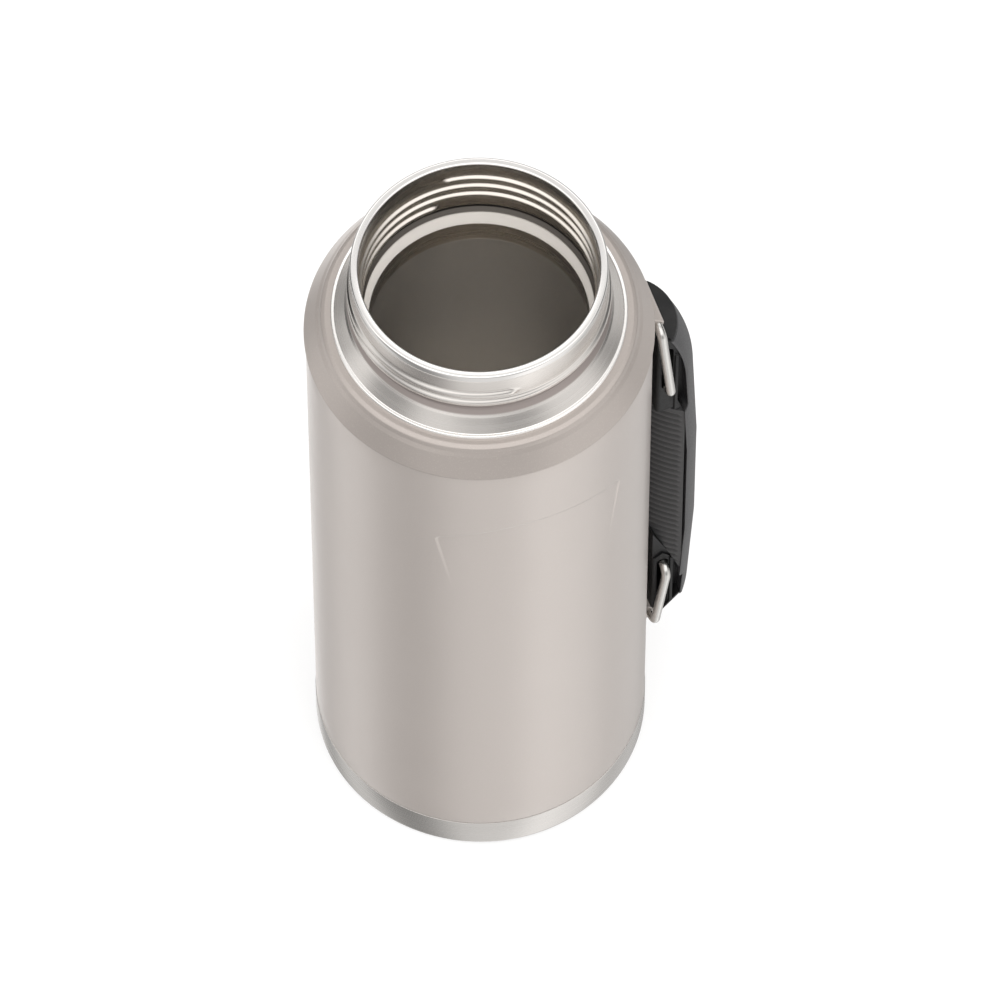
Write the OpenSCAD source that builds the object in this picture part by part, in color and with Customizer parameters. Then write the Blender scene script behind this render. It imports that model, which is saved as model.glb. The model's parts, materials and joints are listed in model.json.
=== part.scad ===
// Insulated food jar with a carrying handle on two wire bails.
// The origin is the middle of the base. +Z runs up through the mouth, the handle is
// towards +X and the front panel towards -Y. The handle is drawn folded in.

/* [Body] */
// Outer radius of the painted wall
body_r = 53; // [50:0.5:66]
// Height of the jar from its base to the top of the lip
jar_h = 268; // [220:1:330]
// Thickness of the outer wall
wall_t = 0.6; // [0.4:0.1:1]
// Thickness of the inner vessel
liner_t = 0.5; // [0.4:0.1:0.8]
// Vacuum space between the vessel and the wall
vacuum_gap = 5.4; // [4:0.1:8]
// Distance from the lip down to the top edge of the wall
wall_drop = 36.4; // [32:0.1:44]
// How far the shoulder's edge stands out over the wall
shoulder_lap = 0.55; // [0.2:0.05:1]
// Height of the vessel's floor above the base
floor_h = 18; // [15:0.5:24]

/* [Neck] */
// Outer radius of the neck wall
neck_r = 39.3; // [32:0.1:42]
// Thickness of the neck ring
neck_t = 0.8; // [0.6:0.1:1]
// Width of the rolled lip
lip_w = 2.8; // [2.4:0.1:3.6]
// Width of the sloping steel ledge round the foot of the neck
ledge_w = 6; // [4:0.1:7]
// Step in radius from the mouth to the throat, over the seal seat
seat_step = 2.8; // [1.5:0.1:4]
// Length of the straight throat under the seal seat
throat_l = 9; // [6:0.5:12]

/* [Threads] */
// Rise of the outside thread in one turn
outer_pitch = 4.3; // [3.5:0.1:5]
// Height of the outside thread's bead over the neck wall
outer_bead = 1; // [0.6:0.1:1.4]
// Turns of the outside thread
outer_turns = 1.75; // [1:0.25:2]
// Rise of the inside thread in one turn
inner_pitch = 4.6; // [4:0.1:5]
// Height of the inside thread's bead over the mouth wall
inner_bead = 1.1; // [0.6:0.1:1.4]
// Turns of the inside thread
inner_turns = 3; // [1:0.25:3]

/* [Front panel] */
// Width of the pressed panel at its top, measured straight across
panel_w = 63; // [40:1:70]
// Height of the panel, from its foot to the top of its arched edge
panel_h = 36; // [20:1:50]
// Depth of the panel at its top edge, which runs out towards its foot
panel_depth = 0.3; // [0.1:0.05:0.3]
// Distance from the top edge of the wall down to the top of the panel
panel_drop = 30.2; // [20:0.1:60]

/* [Base] */
// Height of the bare steel band
base_h = 13.2; // [10:0.1:20]
// Thickness of the base cup
base_t = 0.6; // [0.4:0.1:1]
// How far the band stands out over the painted wall
base_lap = 0.15; // [0.1:0.05:0.5]

/* [Bails] */
// Diameter of the bail wire
wire_d = 3; // [2.4:0.1:3.6]
// Length of a bail along the handle, from the body pivot to the handle bar
link_drop = 34; // [28:0.5:40]
// How much further out the handle bar is than the body pivot when folded
link_out = 2.8; // [2:0.1:4]
// How much wider each leg stands at the handle than at the body
leg_splay = 2.4; // [1.6:0.1:2.6]
// Angle through which the bails swing out
swing = 45; // [30:1:50]
// Distance from the top edge of the wall down to the upper body pivot
upper_pivot_drop = 16.1; // [14:0.1:30]
// Height of the lower body pivot above the base
lower_pivot_h = 37.5; // [34:0.5:50]
// Radial play of the wire in its brackets
bail_play = 0.06; // [0.02:0.01:0.1]
// Width of the brackets
bracket_w = 16; // [12:0.5:18]

/* [Handle] */
// Width of the handle
handle_w = 26; // [21:0.5:30]
// Thickness of the handle, from the finger side to the crown
handle_t = 16.5; // [15:0.1:20]
// Gap between the folded handle and the wall
handle_gap = 1.6; // [1:0.1:4]
// Distance from the upper body pivot down to the handle's top
handle_top = 5.5; // [5.3:0.1:7]
// Distance from the lower body pivot up to the handle's bottom point
handle_end = 4.3; // [3.8:0.1:5]
// Radius of the handle's crowned back, across its width
crown_r = 16.1; // [16:0.1:24]
// Angle by which the upper and lower thirds of the handle's back lean in
bow_tilt = 2.6; // [1:0.1:3.5]
// Radius of the rounded top of the handle's back
dome_r = 66; // [60:1:90]
// Radial play of the bars in the handle's slots
slot_play = 0.4; // [0.3:0.05:0.6]
// Distance from the upper bar down to the grip's top edge
grip_drop = 15.5; // [13:0.5:20]
// Distance between two ribs of the grip
rib_pitch = 3.1; // [2.6:0.1:4]
// Depth of the grooves between the ribs
rib_depth = 0.5; // [0.3:0.1:0.8]
// Diameter of the handle screws
screw_d = 3; // [2.5:0.1:3.5]

/* [Hidden] */
$fn = 96;

// Clearance between pieces that are pushed together
seat = 0.05;
// Gap between pieces that are fixed together
touch = 0.02;
// A length past every face that a cutter goes through
past = 1;
// How much thicker a bend is than the straight that runs into it, and how far that runs in
lap = 0.02;
lap_l = 0.3;

// Heights of the body, from the lip down
wall_top = jar_h - wall_drop;
shoulder_edge_z = wall_top + 0.5;
shoulder_top_z = jar_h - 26.2;
ledge_z = shoulder_top_z;
ledge_edge = 1.3;
groove_z = jar_h - 19;
groove_h = 3.2;
groove_depth = 0.5;
lip_r = (lip_w - 0.1) / 2;
lip_z = jar_h - lip_r;

// Radii of the body
mouth_r = neck_r - lip_w;
throat_r = mouth_r - seat_step;
ledge_r = neck_r + ledge_w;
shoulder_r = body_r + shoulder_lap;
shoulder_t = 0.8;
shoulder_flat = 2.6;
foot_wall_r = body_r + base_lap - base_t - 0.1;
vessel_r = body_r - wall_t - vacuum_gap - liner_t;

// Front panel: rise of its arched edge, how far each side leans in and depth at its foot
panel_arch = 8.2;
panel_lean = 5.5;
panel_foot = 0.04;

// Heights of the vessel, from the lip down
mouth_foot_z = jar_h - 24;
seat_top_z = mouth_foot_z - 1.1;
seat_foot_z = seat_top_z - 4.8;
throat_foot_z = seat_foot_z - throat_l;
vessel_top_z = throat_foot_z - 12;

// Threads
outer_start_z = jar_h - 9.5;
outer_bead_w = 3.4;
outer_start_angle = -92;
inner_start_z = jar_h - 7.1;
inner_bead_w = 2.4;
inner_start_angle = 89.3;
thread_steps = 36;
bead_root = 0.3;
outer_band_z = outer_start_z + outer_bead_w / 2 + 0.1;
outer_draw = 0.2;

// Bottom plates
foot_z = 3.2;
bottom_z = 6;
bottom_flange = 4;
seal_hole_r = 1.5;
seal_r = 4;
dimple_r = 8;
dimple_h = 1.2;
getter_x = 26;
getter_r = 5;
getter_h = 2.4;
cup_groove_in = 24;
cup_groove_out = body_r - 8;
cup_groove_h = 1.2;
foil_t = 0.15;
foil_end = 6;

// Bails
wire_r = wire_d / 2;
pivot_x = body_r + wire_r + 0.7;
bar_x = pivot_x + link_out;
link_l = sqrt(link_drop * link_drop + link_out * link_out);
rest_angle = atan2(link_out, link_drop);
upper_pivot_z = wall_top - upper_pivot_drop;
upper_bar_z = upper_pivot_z - link_drop;
lower_bar_z = lower_pivot_h + link_drop;
bar_half = handle_w / 2 + 1.2;
pivot_half = bar_half - leg_splay;
bend_r = wire_d;
lean = atan2(leg_splay, link_l);
turn_top = 90 - lean;
turn_bar = 90 + lean;
cut_top = bend_r * tan(turn_top / 2);
cut_bar = bend_r * tan(turn_bar / 2);
leg_l = sqrt(leg_splay * leg_splay + link_l * link_l);
stub_in = 5.5;
bracket_r = wire_r + 0.7;
bracket_foot = 5;
bracket_end_r = 1.2;

// Handle, seen from the side: x is out from the body and z is up
face_x = body_r + handle_gap;
crown_x = face_x + handle_t;
top_z = upper_pivot_z - handle_top;
end_z = lower_pivot_h + handle_end;
handle_h = top_z - end_z;
bow_z = (top_z + end_z) / 2 - 8;
knee_z = 24;
dome_z = top_z - 24.5;
dome_x = crown_x - (dome_z - bow_z - knee_z) * tan(bow_tilt);
dome_centre_x = dome_x - dome_r * cos(bow_tilt);
dome_centre_z = dome_z - dome_r * sin(bow_tilt);
end_x = bar_x - 0.4;
end_slope = atan2(8.7, 6.8);
plate_t = 1.6;
slot_r = wire_r + slot_play;
rib_x = bar_x + slot_r + 0.3;
slot_travel = 2 * link_l * (cos(rest_angle) - cos(rest_angle + swing));
upper_slot_l = top_z - upper_bar_z - plate_t - slot_r - 3.5;

// Handle sections
edge_half = handle_w / 2;
top_half = edge_half - 1.8;
slim_half = edge_half - 2.8;
step_half = edge_half - 1.4;
pocket_half = edge_half - 5.5;
edge_drop = crown_r - sqrt(crown_r * crown_r - edge_half * edge_half);
top_drop = crown_r - sqrt(crown_r * crown_r - top_half * top_half);
seam_grip = edge_drop + 0.1;
seam_end = top_drop + 0.8;
flare_r = 32;
flare_angle = 27;
flare_x = crown_x - edge_drop + flare_r * sin(flare_angle);
flare_y = edge_half - flare_r * cos(flare_angle);
cover_t = 2;
core_half = 6;
core_x = face_x + 3.6;
grip_top_z = upper_bar_z - grip_drop;
grip_low_in_z = lower_bar_z + 18.5;
grip_low_out_z = lower_bar_z - 6.5;

// Screws of the handle
screw_r = screw_d / 2;
screw_head_r = screw_r + 1.3;
screw_head_h = 2;
screw_sink = 2.6;
screw_l = 12;
screw_boss_r = screw_r + 1.7;
upper_screw_z = upper_bar_z - slot_r - 6.6;
lower_screw_z = lower_bar_z + slot_r + 6.1;

// Colours
paint = [0.76, 0.72, 0.69];
steel = [0.78, 0.77, 0.75];
black = [0.13, 0.13, 0.13];
grey = [0.3, 0.3, 0.3];

// ---- shared shapes ----

// Turns an outline of [radius, height] points about the jar's axis.
module turned(points) {
    rotate_extrude($fn = 180)
        polygon(points);
}

// A straight tube or ring on the jar's axis.
module ring(r_out, r_in, z, h) {
    translate([0, 0, z])
        difference() {
            cylinder(r = r_out, h = h, $fn = 180);
            translate([0, 0, -past])
                cylinder(r = r_in, h = h + 2 * past, $fn = 180);
        }
}

// Height of a thread bead at a share of its length, so that both ends run out.
function run_out(share, ends) = sqrt(min(1, min(share, 1 - share) / ends));

// Points of one cross-section of a thread bead that stands "side" (1 out, -1 in) of radius r.
function bead_section(r, side, height, width, angle, z) = [
    for (p = [[-0.5, -bead_root], [-0.36, 0.7 * height], [-0.14, height],
              [0.14, height], [0.36, 0.7 * height], [0.5, -bead_root]])
        [(r + side * p[1]) * cos(angle), (r + side * p[1]) * sin(angle), z + p[0] * width]
];

// A helical bead on a wall of radius r. It starts at the top and falls as it goes clockwise.
module thread_bead(r, side, height, width, pitch, turns, start_angle, start_z) {
    steps = round(turns * thread_steps);
    sides = 6;
    points = [
        for (i = [0:steps])
            let (share = i / steps, size = max(0.12, run_out(share, 0.03)))
                each bead_section(r, side, height * size, width * (0.4 + 0.6 * size),
                    start_angle - 360 * turns * share, start_z - pitch * turns * share)
    ];
    faces = [
        for (i = [0:steps - 1], j = [0:sides - 1])
            let (a = i * sides + j, b = i * sides + (j + 1) % sides)
                each [[a, b, b + sides], [a, b + sides, a + sides]],
        [for (j = [sides - 1:-1:0]) j],
        [for (j = [0:sides - 1]) steps * sides + j]
    ];
    flipped = [for (f = faces) [for (k = [len(f) - 1:-1:0]) f[k]]];
    polyhedron(points, side > 0 ? flipped : faces, convexity = 10);
}

// ---- jar ----

module outer_wall() {
    color(paint)
    difference() {
        turned([
            [foot_wall_r, foot_z], [foot_wall_r, base_h], [body_r, base_h + 0.5],
            [body_r, wall_top], [body_r - wall_t, wall_top], [body_r - wall_t, base_h + 1],
            [foot_wall_r - wall_t, base_h + 0.2], [foot_wall_r - wall_t, foot_z]
        ]);
        front_panel();
    }
}

// Cutter for the pressed panel on the front: arched on top and run out at its foot.
module front_panel() {
    top = wall_top - panel_drop;
    low = top - panel_h;
    half = panel_w / 2;
    arch_r = (half * half + panel_arch * panel_arch) / (2 * panel_arch);
    difference() {
        rotate([90, 0, 0])
            linear_extrude(body_r + 5)
                intersection() {
                    polygon([
                        [-half, top], [half, top], [half - panel_lean, low], [panel_lean - half, low]
                    ]);
                    translate([0, top - arch_r])
                        circle(r = arch_r, $fn = 180);
                }
        turned([
            [0, low - past], [body_r - panel_foot, low - past], [body_r - panel_foot, low],
            [body_r - panel_depth, top], [body_r - panel_depth, top + past], [0, top + past]
        ]);
    }
}

module shoulder() {
    flat_r = ledge_r + shoulder_flat;
    color(paint)
        turned([
            [body_r - wall_t, wall_top], [shoulder_r, wall_top], [shoulder_r, shoulder_edge_z],
            [flat_r + 0.5, shoulder_top_z - 1.1], [flat_r, shoulder_top_z - 0.5],
            [ledge_r + 0.3, shoulder_top_z], [ledge_r - neck_t - 0.4, shoulder_top_z],
            [ledge_r - neck_t - 0.4, shoulder_top_z - shoulder_t],
            [flat_r - 0.3, shoulder_top_z - shoulder_t - 0.4],
            [body_r - wall_t, shoulder_edge_z]
        ]);
}

module neck_ring() {
    inner = neck_r - neck_t;
    groove_r = neck_r - groove_depth;
    ledge_top = ledge_z + ledge_edge;
    fillet_z = ledge_z + 5.6;
    top = jar_h - lip_w / 2 - 1;
    color(steel)
    union() {
        turned([
            [neck_r, top], [neck_r, outer_band_z], [neck_r - outer_draw, groove_z + groove_h],
            [groove_r, groove_z + groove_h - 0.3],
            [groove_r, groove_z], [neck_r + 0.6, groove_z - 0.8], [neck_r + 1.8, fillet_z],
            [ledge_r - 0.5, ledge_top + 0.1], [ledge_r - 0.1, ledge_top - 0.2],
            [ledge_r, ledge_top - 0.6], [ledge_r, ledge_z], [ledge_r - neck_t, ledge_z],
            [ledge_r - neck_t, ledge_top - 0.8], [neck_r + 1.4, fillet_z - neck_t],
            [inner, groove_z - 1.4], [inner, top]
        ]);
        thread_bead(neck_r, 1, outer_bead, outer_bead_w, outer_pitch, outer_turns,
            outer_start_angle, outer_start_z);
    }
}

module inner_liner() {
    lip_foot = jar_h - lip_w / 2 - 1 + seat;
    color(steel)
    union() {
        turned([
            [mouth_r, mouth_foot_z], [throat_r + 1.5, seat_top_z],
            [throat_r, seat_foot_z], [throat_r, throat_foot_z],
            [throat_r + 1.2, throat_foot_z - 1.6],
            [vessel_r - 1.2, vessel_top_z + 1.8], [vessel_r, vessel_top_z], [vessel_r, floor_h],
            [vessel_r + liner_t, floor_h], [vessel_r + liner_t, vessel_top_z + 0.3],
            [vessel_r - 0.9, vessel_top_z + 2.3],
            [throat_r + 1.5, throat_foot_z - 1.1], [throat_r + liner_t, throat_foot_z],
            [throat_r + liner_t, seat_foot_z - 0.1], [throat_r + 1.5 + liner_t, seat_top_z - 0.3],
            [mouth_r + liner_t, mouth_foot_z - 0.3], [mouth_r + liner_t, lip_foot],
            [mouth_r + 2 * lip_r, lip_foot],
            for (a = [0:15:180])
                [mouth_r + lip_r + lip_r * cos(a), lip_z + lip_r * sin(a)]
        ]);
        thread_bead(mouth_r, -1, inner_bead, inner_bead_w, inner_pitch, inner_turns,
            inner_start_angle, inner_start_z);
    }
}

module liner_bottom() {
    rim = vessel_r - touch;
    dish_r = 4 * vessel_r;
    sag = dish_r - sqrt(dish_r * dish_r - rim * rim);
    color(steel)
    union() {
        ring(rim, rim - liner_t, floor_h - sag / 2, 5);
        intersection() {
            translate([0, 0, floor_h - sag + dish_r])
                difference() {
                    sphere(r = dish_r, $fn = 360);
                    sphere(r = dish_r - liner_t, $fn = 360);
                }
            cylinder(r = rim - liner_t / 2, h = floor_h + 2, $fn = 180);
        }
    }
}

module foil_wrap() {
    r = vessel_r + liner_t + seat;
    color([0.8, 0.5, 0.35])
        ring(r + foil_t, r, floor_h + foil_end, vessel_top_z - floor_h - 2 * foil_end);
}

module outer_bottom() {
    rim = foot_wall_r - wall_t - touch;
    color(steel)
    difference() {
        union() {
            ring(rim, rim - wall_t, bottom_z - bottom_flange / 2, bottom_flange);
            translate([0, 0, bottom_z + bottom_flange / 2 - wall_t])
                cylinder(r = rim, h = wall_t, $fn = 180);
            translate([0, 0, bottom_z + bottom_flange / 2 - wall_t])
                cylinder(r = dimple_r, h = wall_t + dimple_h, $fn = 96);
        }
        translate([0, 0, bottom_z])
            cylinder(r = dimple_r - wall_t, h = bottom_flange / 2 + dimple_h - wall_t, $fn = 96);
        cylinder(r = seal_hole_r, h = bottom_z + bottom_flange, $fn = 48);
    }
}

module vacuum_seal() {
    top = bottom_z + bottom_flange / 2 + dimple_h - wall_t;
    color([0.55, 0.6, 0.62])
    union() {
        translate([0, 0, top - 0.8])
            cylinder(r = seal_r, h = 0.8, $fn = 64);
        translate([0, 0, top - 0.4])
            cylinder(r = seal_hole_r - seat, h = 0.4 + wall_t, $fn = 48);
    }
}

module getter_cup() {
    base = bottom_z + bottom_flange / 2;
    color(steel)
    translate([getter_x, 0, base])
        difference() {
            cylinder(r = getter_r, h = getter_h, $fn = 64);
            translate([0, 0, 0.4])
                cylinder(r = getter_r - 0.4, h = getter_h, $fn = 64);
        }
}

module getter() {
    color([0.35, 0.35, 0.38])
    translate([getter_x, 0, bottom_z + bottom_flange / 2 + 0.4])
        cylinder(r = getter_r - 0.4 - seat, h = getter_h - 0.9, $fn = 64);
}

module base_cup() {
    r = body_r + base_lap;
    color(steel)
        turned([
            [0, 0], [cup_groove_in, 0], [cup_groove_in + 1, cup_groove_h],
            [cup_groove_out - 1, cup_groove_h], [cup_groove_out, 0], [r - 1.5, 0],
            [r - 0.8, 0.2], [r - 0.2, 0.8], [r, 1.5],
            [r, base_h - 0.3], [r - 0.2, base_h], [r - base_t, base_h], [r - base_t, 1.8],
            [r - base_t - 0.5, base_t + 0.5], [r - 2, base_t], [cup_groove_out + 0.4, base_t],
            [cup_groove_out - 0.6, cup_groove_h + base_t], [cup_groove_in + 0.6, cup_groove_h + base_t],
            [cup_groove_in - 0.4, base_t], [0, base_t]
        ]);
}

// ---- brackets and bails ----

// A bracket on the body whose wire hole is at height z.
module bracket(z) {
    foot_x = body_r - 0.5;
    dx = foot_x - pivot_x;
    reach = sqrt(dx * dx + bracket_foot * bracket_foot);
    turn = atan2(bracket_foot, dx) - acos(bracket_r / reach);
    tangent = [bracket_r * cos(turn), bracket_r * sin(turn)];
    difference() {
        translate([pivot_x, 0, z])
            rotate([90, 0, 0])
                union() {
                    cylinder(r = bracket_r, h = bracket_w, center = true, $fn = 64);
                    linear_extrude(bracket_w, center = true)
                        polygon([[dx, bracket_foot], tangent, [tangent[0], -tangent[1]],
                                 [dx, -bracket_foot]]);
                }
        translate([0, 0, z - 2 * bracket_foot])
            cylinder(r = body_r + touch, h = 4 * bracket_foot, $fn = 180);
        translate([pivot_x, 0, z])
            rotate([90, 0, 0])
                cylinder(r = wire_r + bail_play, h = bracket_w + 2 * past, center = true, $fn = 64);
        for (side = [-1, 1])
            translate([pivot_x + bracket_r, side * bracket_w / 2, z])
                rotate([0, 0, 45])
                    cube([bracket_end_r, bracket_end_r, 4 * bracket_foot], center = true);
    }
}

module upper_bracket() {
    color(paint)
        bracket(upper_pivot_z);
}

module lower_bracket() {
    color(paint)
        bracket(lower_pivot_h);
}

// Half of a bail in its own plane, without the bar: X runs across the handle and Y from
// the pivot to the bar.
module half_bail() {
    stub_start = bracket_w / 2 - stub_in;
    translate([stub_start, 0, 0])
        rotate([0, 90, 0])
            cylinder(r = wire_r, h = pivot_half - cut_top - stub_start + lap_l, $fn = 48);
    translate([pivot_half - cut_top, bend_r, 0])
        wire_bend(-90, turn_top);
    translate([pivot_half, 0, 0])
        rotate([0, 0, -lean])
            translate([0, cut_top - lap_l, 0])
                rotate([-90, 0, 0])
                    cylinder(r = wire_r, h = leg_l - cut_top - cut_bar + 2 * lap_l, $fn = 48);
    translate([bar_half - cut_bar, link_l - bend_r, 0])
        wire_bend(90 - turn_bar, turn_bar);
}

// A bend of the wire. It is a hair thicker than the straights, which end inside it.
module wire_bend(start, angle) {
    rotate([0, 0, start])
        rotate_extrude(angle = angle, $fn = 96)
            translate([bend_r, 0])
                circle(r = wire_r + lap, $fn = 48);
}

// A whole bail that hangs from its pivot line (way 1) or stands on it (way -1).
module bail(z, way) {
    translate([pivot_x, 0, z])
        rotate([0, -way * (90 + rest_angle), 0])
            rotate([0, 0, 90]) {
                half_bail();
                mirror([1, 0, 0])
                    half_bail();
                translate([cut_bar - bar_half - lap_l, link_l, 0])
                    rotate([0, 90, 0])
                        cylinder(r = wire_r, h = 2 * (bar_half - cut_bar + lap_l), $fn = 48);
            }
}

module upper_bail() {
    color(steel)
        bail(upper_pivot_z, 1);
}

module lower_bail() {
    color(steel)
        bail(lower_pivot_h, -1);
}

// ---- handle ----

// How far out the handle's crown is at height z.
function crown_at(z) =
    z < dome_z
        ? crown_x - max(0, abs(z - bow_z) - knee_z) * tan(bow_tilt)
        : dome_centre_x + sqrt(dome_r * dome_r - (z - dome_centre_z) * (z - dome_centre_z));

// A straight round bar of the crown's section, "half" wide each way. It leans about the
// point of its back at height z, and reaches "above" beyond that point.
module crown_bar(z, lean_in, above) {
    intersection() {
        translate([crown_x, 0, z])
            rotate([0, lean_in, 0])
                translate([-crown_r, 0, -handle_h])
                    cylinder(r = crown_r, h = handle_h + above, $fn = 96);
        slab(face_x - past, crown_x + past, edge_half + lap);
    }
}

// The domed top of the crown, bent about a line along Y.
module crown_dome() {
    intersection() {
        translate([dome_centre_x, 0, dome_centre_z])
            rotate([90, 0, 0])
                rotate([0, 0, bow_tilt])
                    rotate_extrude(angle = 60, $fn = 180)
                        translate([dome_r - crown_r, 0])
                            circle(r = crown_r + lap, $fn = 96);
        slab(face_x - past, crown_x + past, edge_half + lap);
    }
}

// The space inside the handle's crowned back.
module crown_space() {
    intersection() {
        union() {
            crown_bar(bow_z + knee_z, -bow_tilt, (dome_z - bow_z - knee_z) / cos(bow_tilt) + lap_l);
            crown_dome();
        }
        crown_bar(bow_z, 0, handle_h);
        crown_bar(bow_z - knee_z, bow_tilt, handle_h);
    }
}

// The space on the body's side of a seam that lies "depth" inside the crown.
module inside_seam(depth) {
    steps = 24;
    rotate([90, 0, 0])
        linear_extrude(2 * handle_w, center = true)
            polygon([
                [0, end_z - 5], [0, top_z + 5],
                for (i = [0:steps])
                    let (z = top_z + 5 - i / steps * (top_z - end_z + 10))
                        [crown_at(min(z, top_z)) - depth, z]
            ]);
}

// The handle's outline from the side, between two heights.
module side_outline(z_low, z_high) {
    far = crown_x + 10;
    rotate([90, 0, 0])
        linear_extrude(2 * handle_w, center = true)
            intersection() {
                polygon([
                    [face_x, top_z], [far, top_z], [far, end_z + (far - end_x) * tan(end_slope)],
                    [end_x, end_z], [face_x, end_z + 1.4]
                ]);
                translate([0, z_low])
                    square([2 * far, z_high - z_low]);
            }
}

// The handle's outline from behind.
module back_outline() {
    rotate([90, 0, 90])
        linear_extrude(2 * crown_x)
            polygon([
                [top_half, top_z + 1], [top_half, top_z - 20], [edge_half, upper_bar_z - 9],
                [edge_half, lower_bar_z - 10], [edge_half - 0.8, end_z - 1],
                [-edge_half + 0.8, end_z - 1], [-edge_half, lower_bar_z - 10],
                [-edge_half, upper_bar_z - 9], [-top_half, top_z - 20], [-top_half, top_z + 1]
            ]);
}

// One of the two round bars whose overlap is the grip's flared section.
module flare_side(side, inset) {
    translate([flare_x, side * flare_y, end_z - 5])
        cylinder(r = flare_r - inset, h = top_z - end_z + 10, $fn = 256);
}

// The flared section of the grip, made smaller all round by "inset".
module flared_space(inset) {
    intersection() {
        flare_side(1, inset);
        flare_side(-1, inset);
        translate([face_x + inset, -handle_w, end_z - 5])
            cube([handle_t + 20, 2 * handle_w, top_z - end_z + 10]);
    }
}

// The space that the grip fills: a level top edge and a slanted lower edge.
module grip_space(grow) {
    rotate([90, 0, 0])
        linear_extrude(2 * handle_w, center = true)
            polygon([
                [face_x - 5, grip_top_z + grow], [crown_x + 5, grip_top_z + grow + 2.5],
                [crown_x + 5, grip_low_out_z - grow - 4], [crown_x - edge_drop, grip_low_out_z - grow],
                [face_x, grip_low_in_z - grow], [face_x - 5, grip_low_in_z - grow + 6]
            ]);
}

// The bar under the grip that joins the handle's two ends.
module grip_core() {
    intersection() {
        translate([core_x, -core_half, grip_low_out_z - 2])
            cube([handle_t, 2 * core_half, grip_top_z - grip_low_out_z + 6]);
        inside_seam(seam_grip);
    }
}

// A long hole across the handle in which a bar travels.
module long_slot(z_low, z_high) {
    translate([bar_x, 0, 0])
        rotate([90, 0, 0])
            linear_extrude(2 * handle_w, center = true)
                union() {
                    translate([0, z_low])
                        circle(r = slot_r, $fn = 64);
                    translate([0, z_high])
                        circle(r = slot_r, $fn = 64);
                    translate([-slot_r, z_low])
                        square([2 * slot_r, z_high - z_low]);
                }
}

// A pocket in both sides of the handle, beyond the rib that runs beside a slot.
module side_pockets(points) {
    for (side = [-1, 1])
        translate([0, side * (pocket_half + edge_half), 0])
            rotate([90, 0, 0])
                linear_extrude(2 * edge_half, center = true)
                    polygon(points);
}

// A block between the finger side and x, half as wide as "half".
module slab(x_low, x_high, half) {
    translate([x_low, -half, end_z - 5])
        cube([x_high - x_low, 2 * half, top_z - end_z + 10]);
}

module handle_frame() {
    pocket_x = rib_x + 1;
    pocket_far = crown_x - edge_drop - 0.6;
    color(black)
    difference() {
        union() {
            intersection() {
                union() {
                    slab(face_x, rib_x + 0.1, slim_half);
                    slab(rib_x, crown_x, step_half);
                }
                side_outline(end_z - 1, top_z - plate_t / 2);
                inside_seam(seam_end);
                difference() {
                    slab(0, crown_x, handle_w);
                    grip_space(0);
                }
            }
            grip_core();
            intersection() {
                crown_space();
                side_outline(top_z - plate_t, top_z);
                union() {
                    slab(face_x, bar_x + 0.1, slim_half);
                    slab(bar_x, crown_x, top_half);
                }
            }
        }
        long_slot(upper_bar_z, upper_bar_z + upper_slot_l);
        long_slot(lower_bar_z - slot_travel, lower_bar_z);
        side_pockets([
            [pocket_x, upper_bar_z - 9.5], [pocket_x, top_z - 12],
            [pocket_x + 2.2, top_z - 18], [pocket_far, top_z - 22.5],
            [pocket_far, upper_bar_z - 12.5], [pocket_x + 1.7, upper_bar_z - 15]
        ]);
        side_pockets([
            [pocket_x, lower_bar_z - 4], [pocket_far, lower_bar_z - 9],
            [pocket_far - 0.6, end_z + 5.7], [pocket_x, end_z + 1.7]
        ]);
        for (z = [upper_screw_z, lower_screw_z])
            translate([face_x - past, 0, z])
                rotate([0, 90, 0]) {
                    cylinder(r = screw_head_r + 0.2, h = screw_sink + past, $fn = 48);
                    cylinder(r = screw_r + 0.2, h = handle_t + past, $fn = 48);
                }
    }
}

module handle_cover() {
    color(grey)
    difference() {
        union() {
            difference() {
                intersection() {
                    crown_space();
                    back_outline();
                    side_outline(end_z - 1, top_z - plate_t - seat);
                    difference() {
                        slab(0, crown_x + past, handle_w);
                        inside_seam(seam_grip);
                    }
                }
                cover_hollow();
            }
            for (z = [upper_screw_z, lower_screw_z])
                intersection() {
                    translate([face_x, 0, z])
                        rotate([0, 90, 0])
                            cylinder(r = screw_boss_r, h = handle_t - cover_t / 2, $fn = 48);
                    difference() {
                        crown_space();
                        inside_seam(seam_end);
                    }
                }
        }
        for (z = [upper_screw_z, lower_screw_z])
            translate([face_x, 0, z])
                rotate([0, 90, 0])
                    cylinder(r = screw_r + seat, h = screw_sink + screw_l + 0.5, $fn = 48);
        difference() {
            inside_seam(seam_end - touch);
            grip_space(-seat);
        }
    }
}

// The room inside the cover.
module cover_hollow() {
    rotate([90, 0, 0])
        linear_extrude(2 * (edge_half - 4), center = true)
            polygon([
                [0, end_z + 14], [0, dome_z],
                for (i = [0:8])
                    let (z = dome_z - i / 8 * (dome_z - end_z - 14))
                        [crown_at(z) - cover_t - 1, z]
            ]);
}

module handle_grip() {
    count = floor((grip_top_z - grip_low_out_z - 3) / rib_pitch);
    color([0.2, 0.2, 0.2])
    difference() {
        intersection() {
            flared_space(0);
            grip_space(-0.1);
            inside_seam(seam_grip + 0.1);
        }
        translate([core_x - seat, -core_half - seat, grip_low_out_z - 5])
            cube([handle_t, 2 * core_half + 2 * seat, grip_top_z - grip_low_out_z + 15]);
        for (i = [0:count - 1])
            rib_groove(grip_top_z - 2.2 - i * rib_pitch);
    }
}

// One groove round the finger side of the grip, with its top edge at height z.
module rib_groove(z) {
    difference() {
        translate([face_x - past, -handle_w, z - 1.1])
            cube([crown_x - edge_drop - 1.6 - face_x + past, 2 * handle_w, 1.1]);
        flared_space(rib_depth);
    }
}

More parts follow.
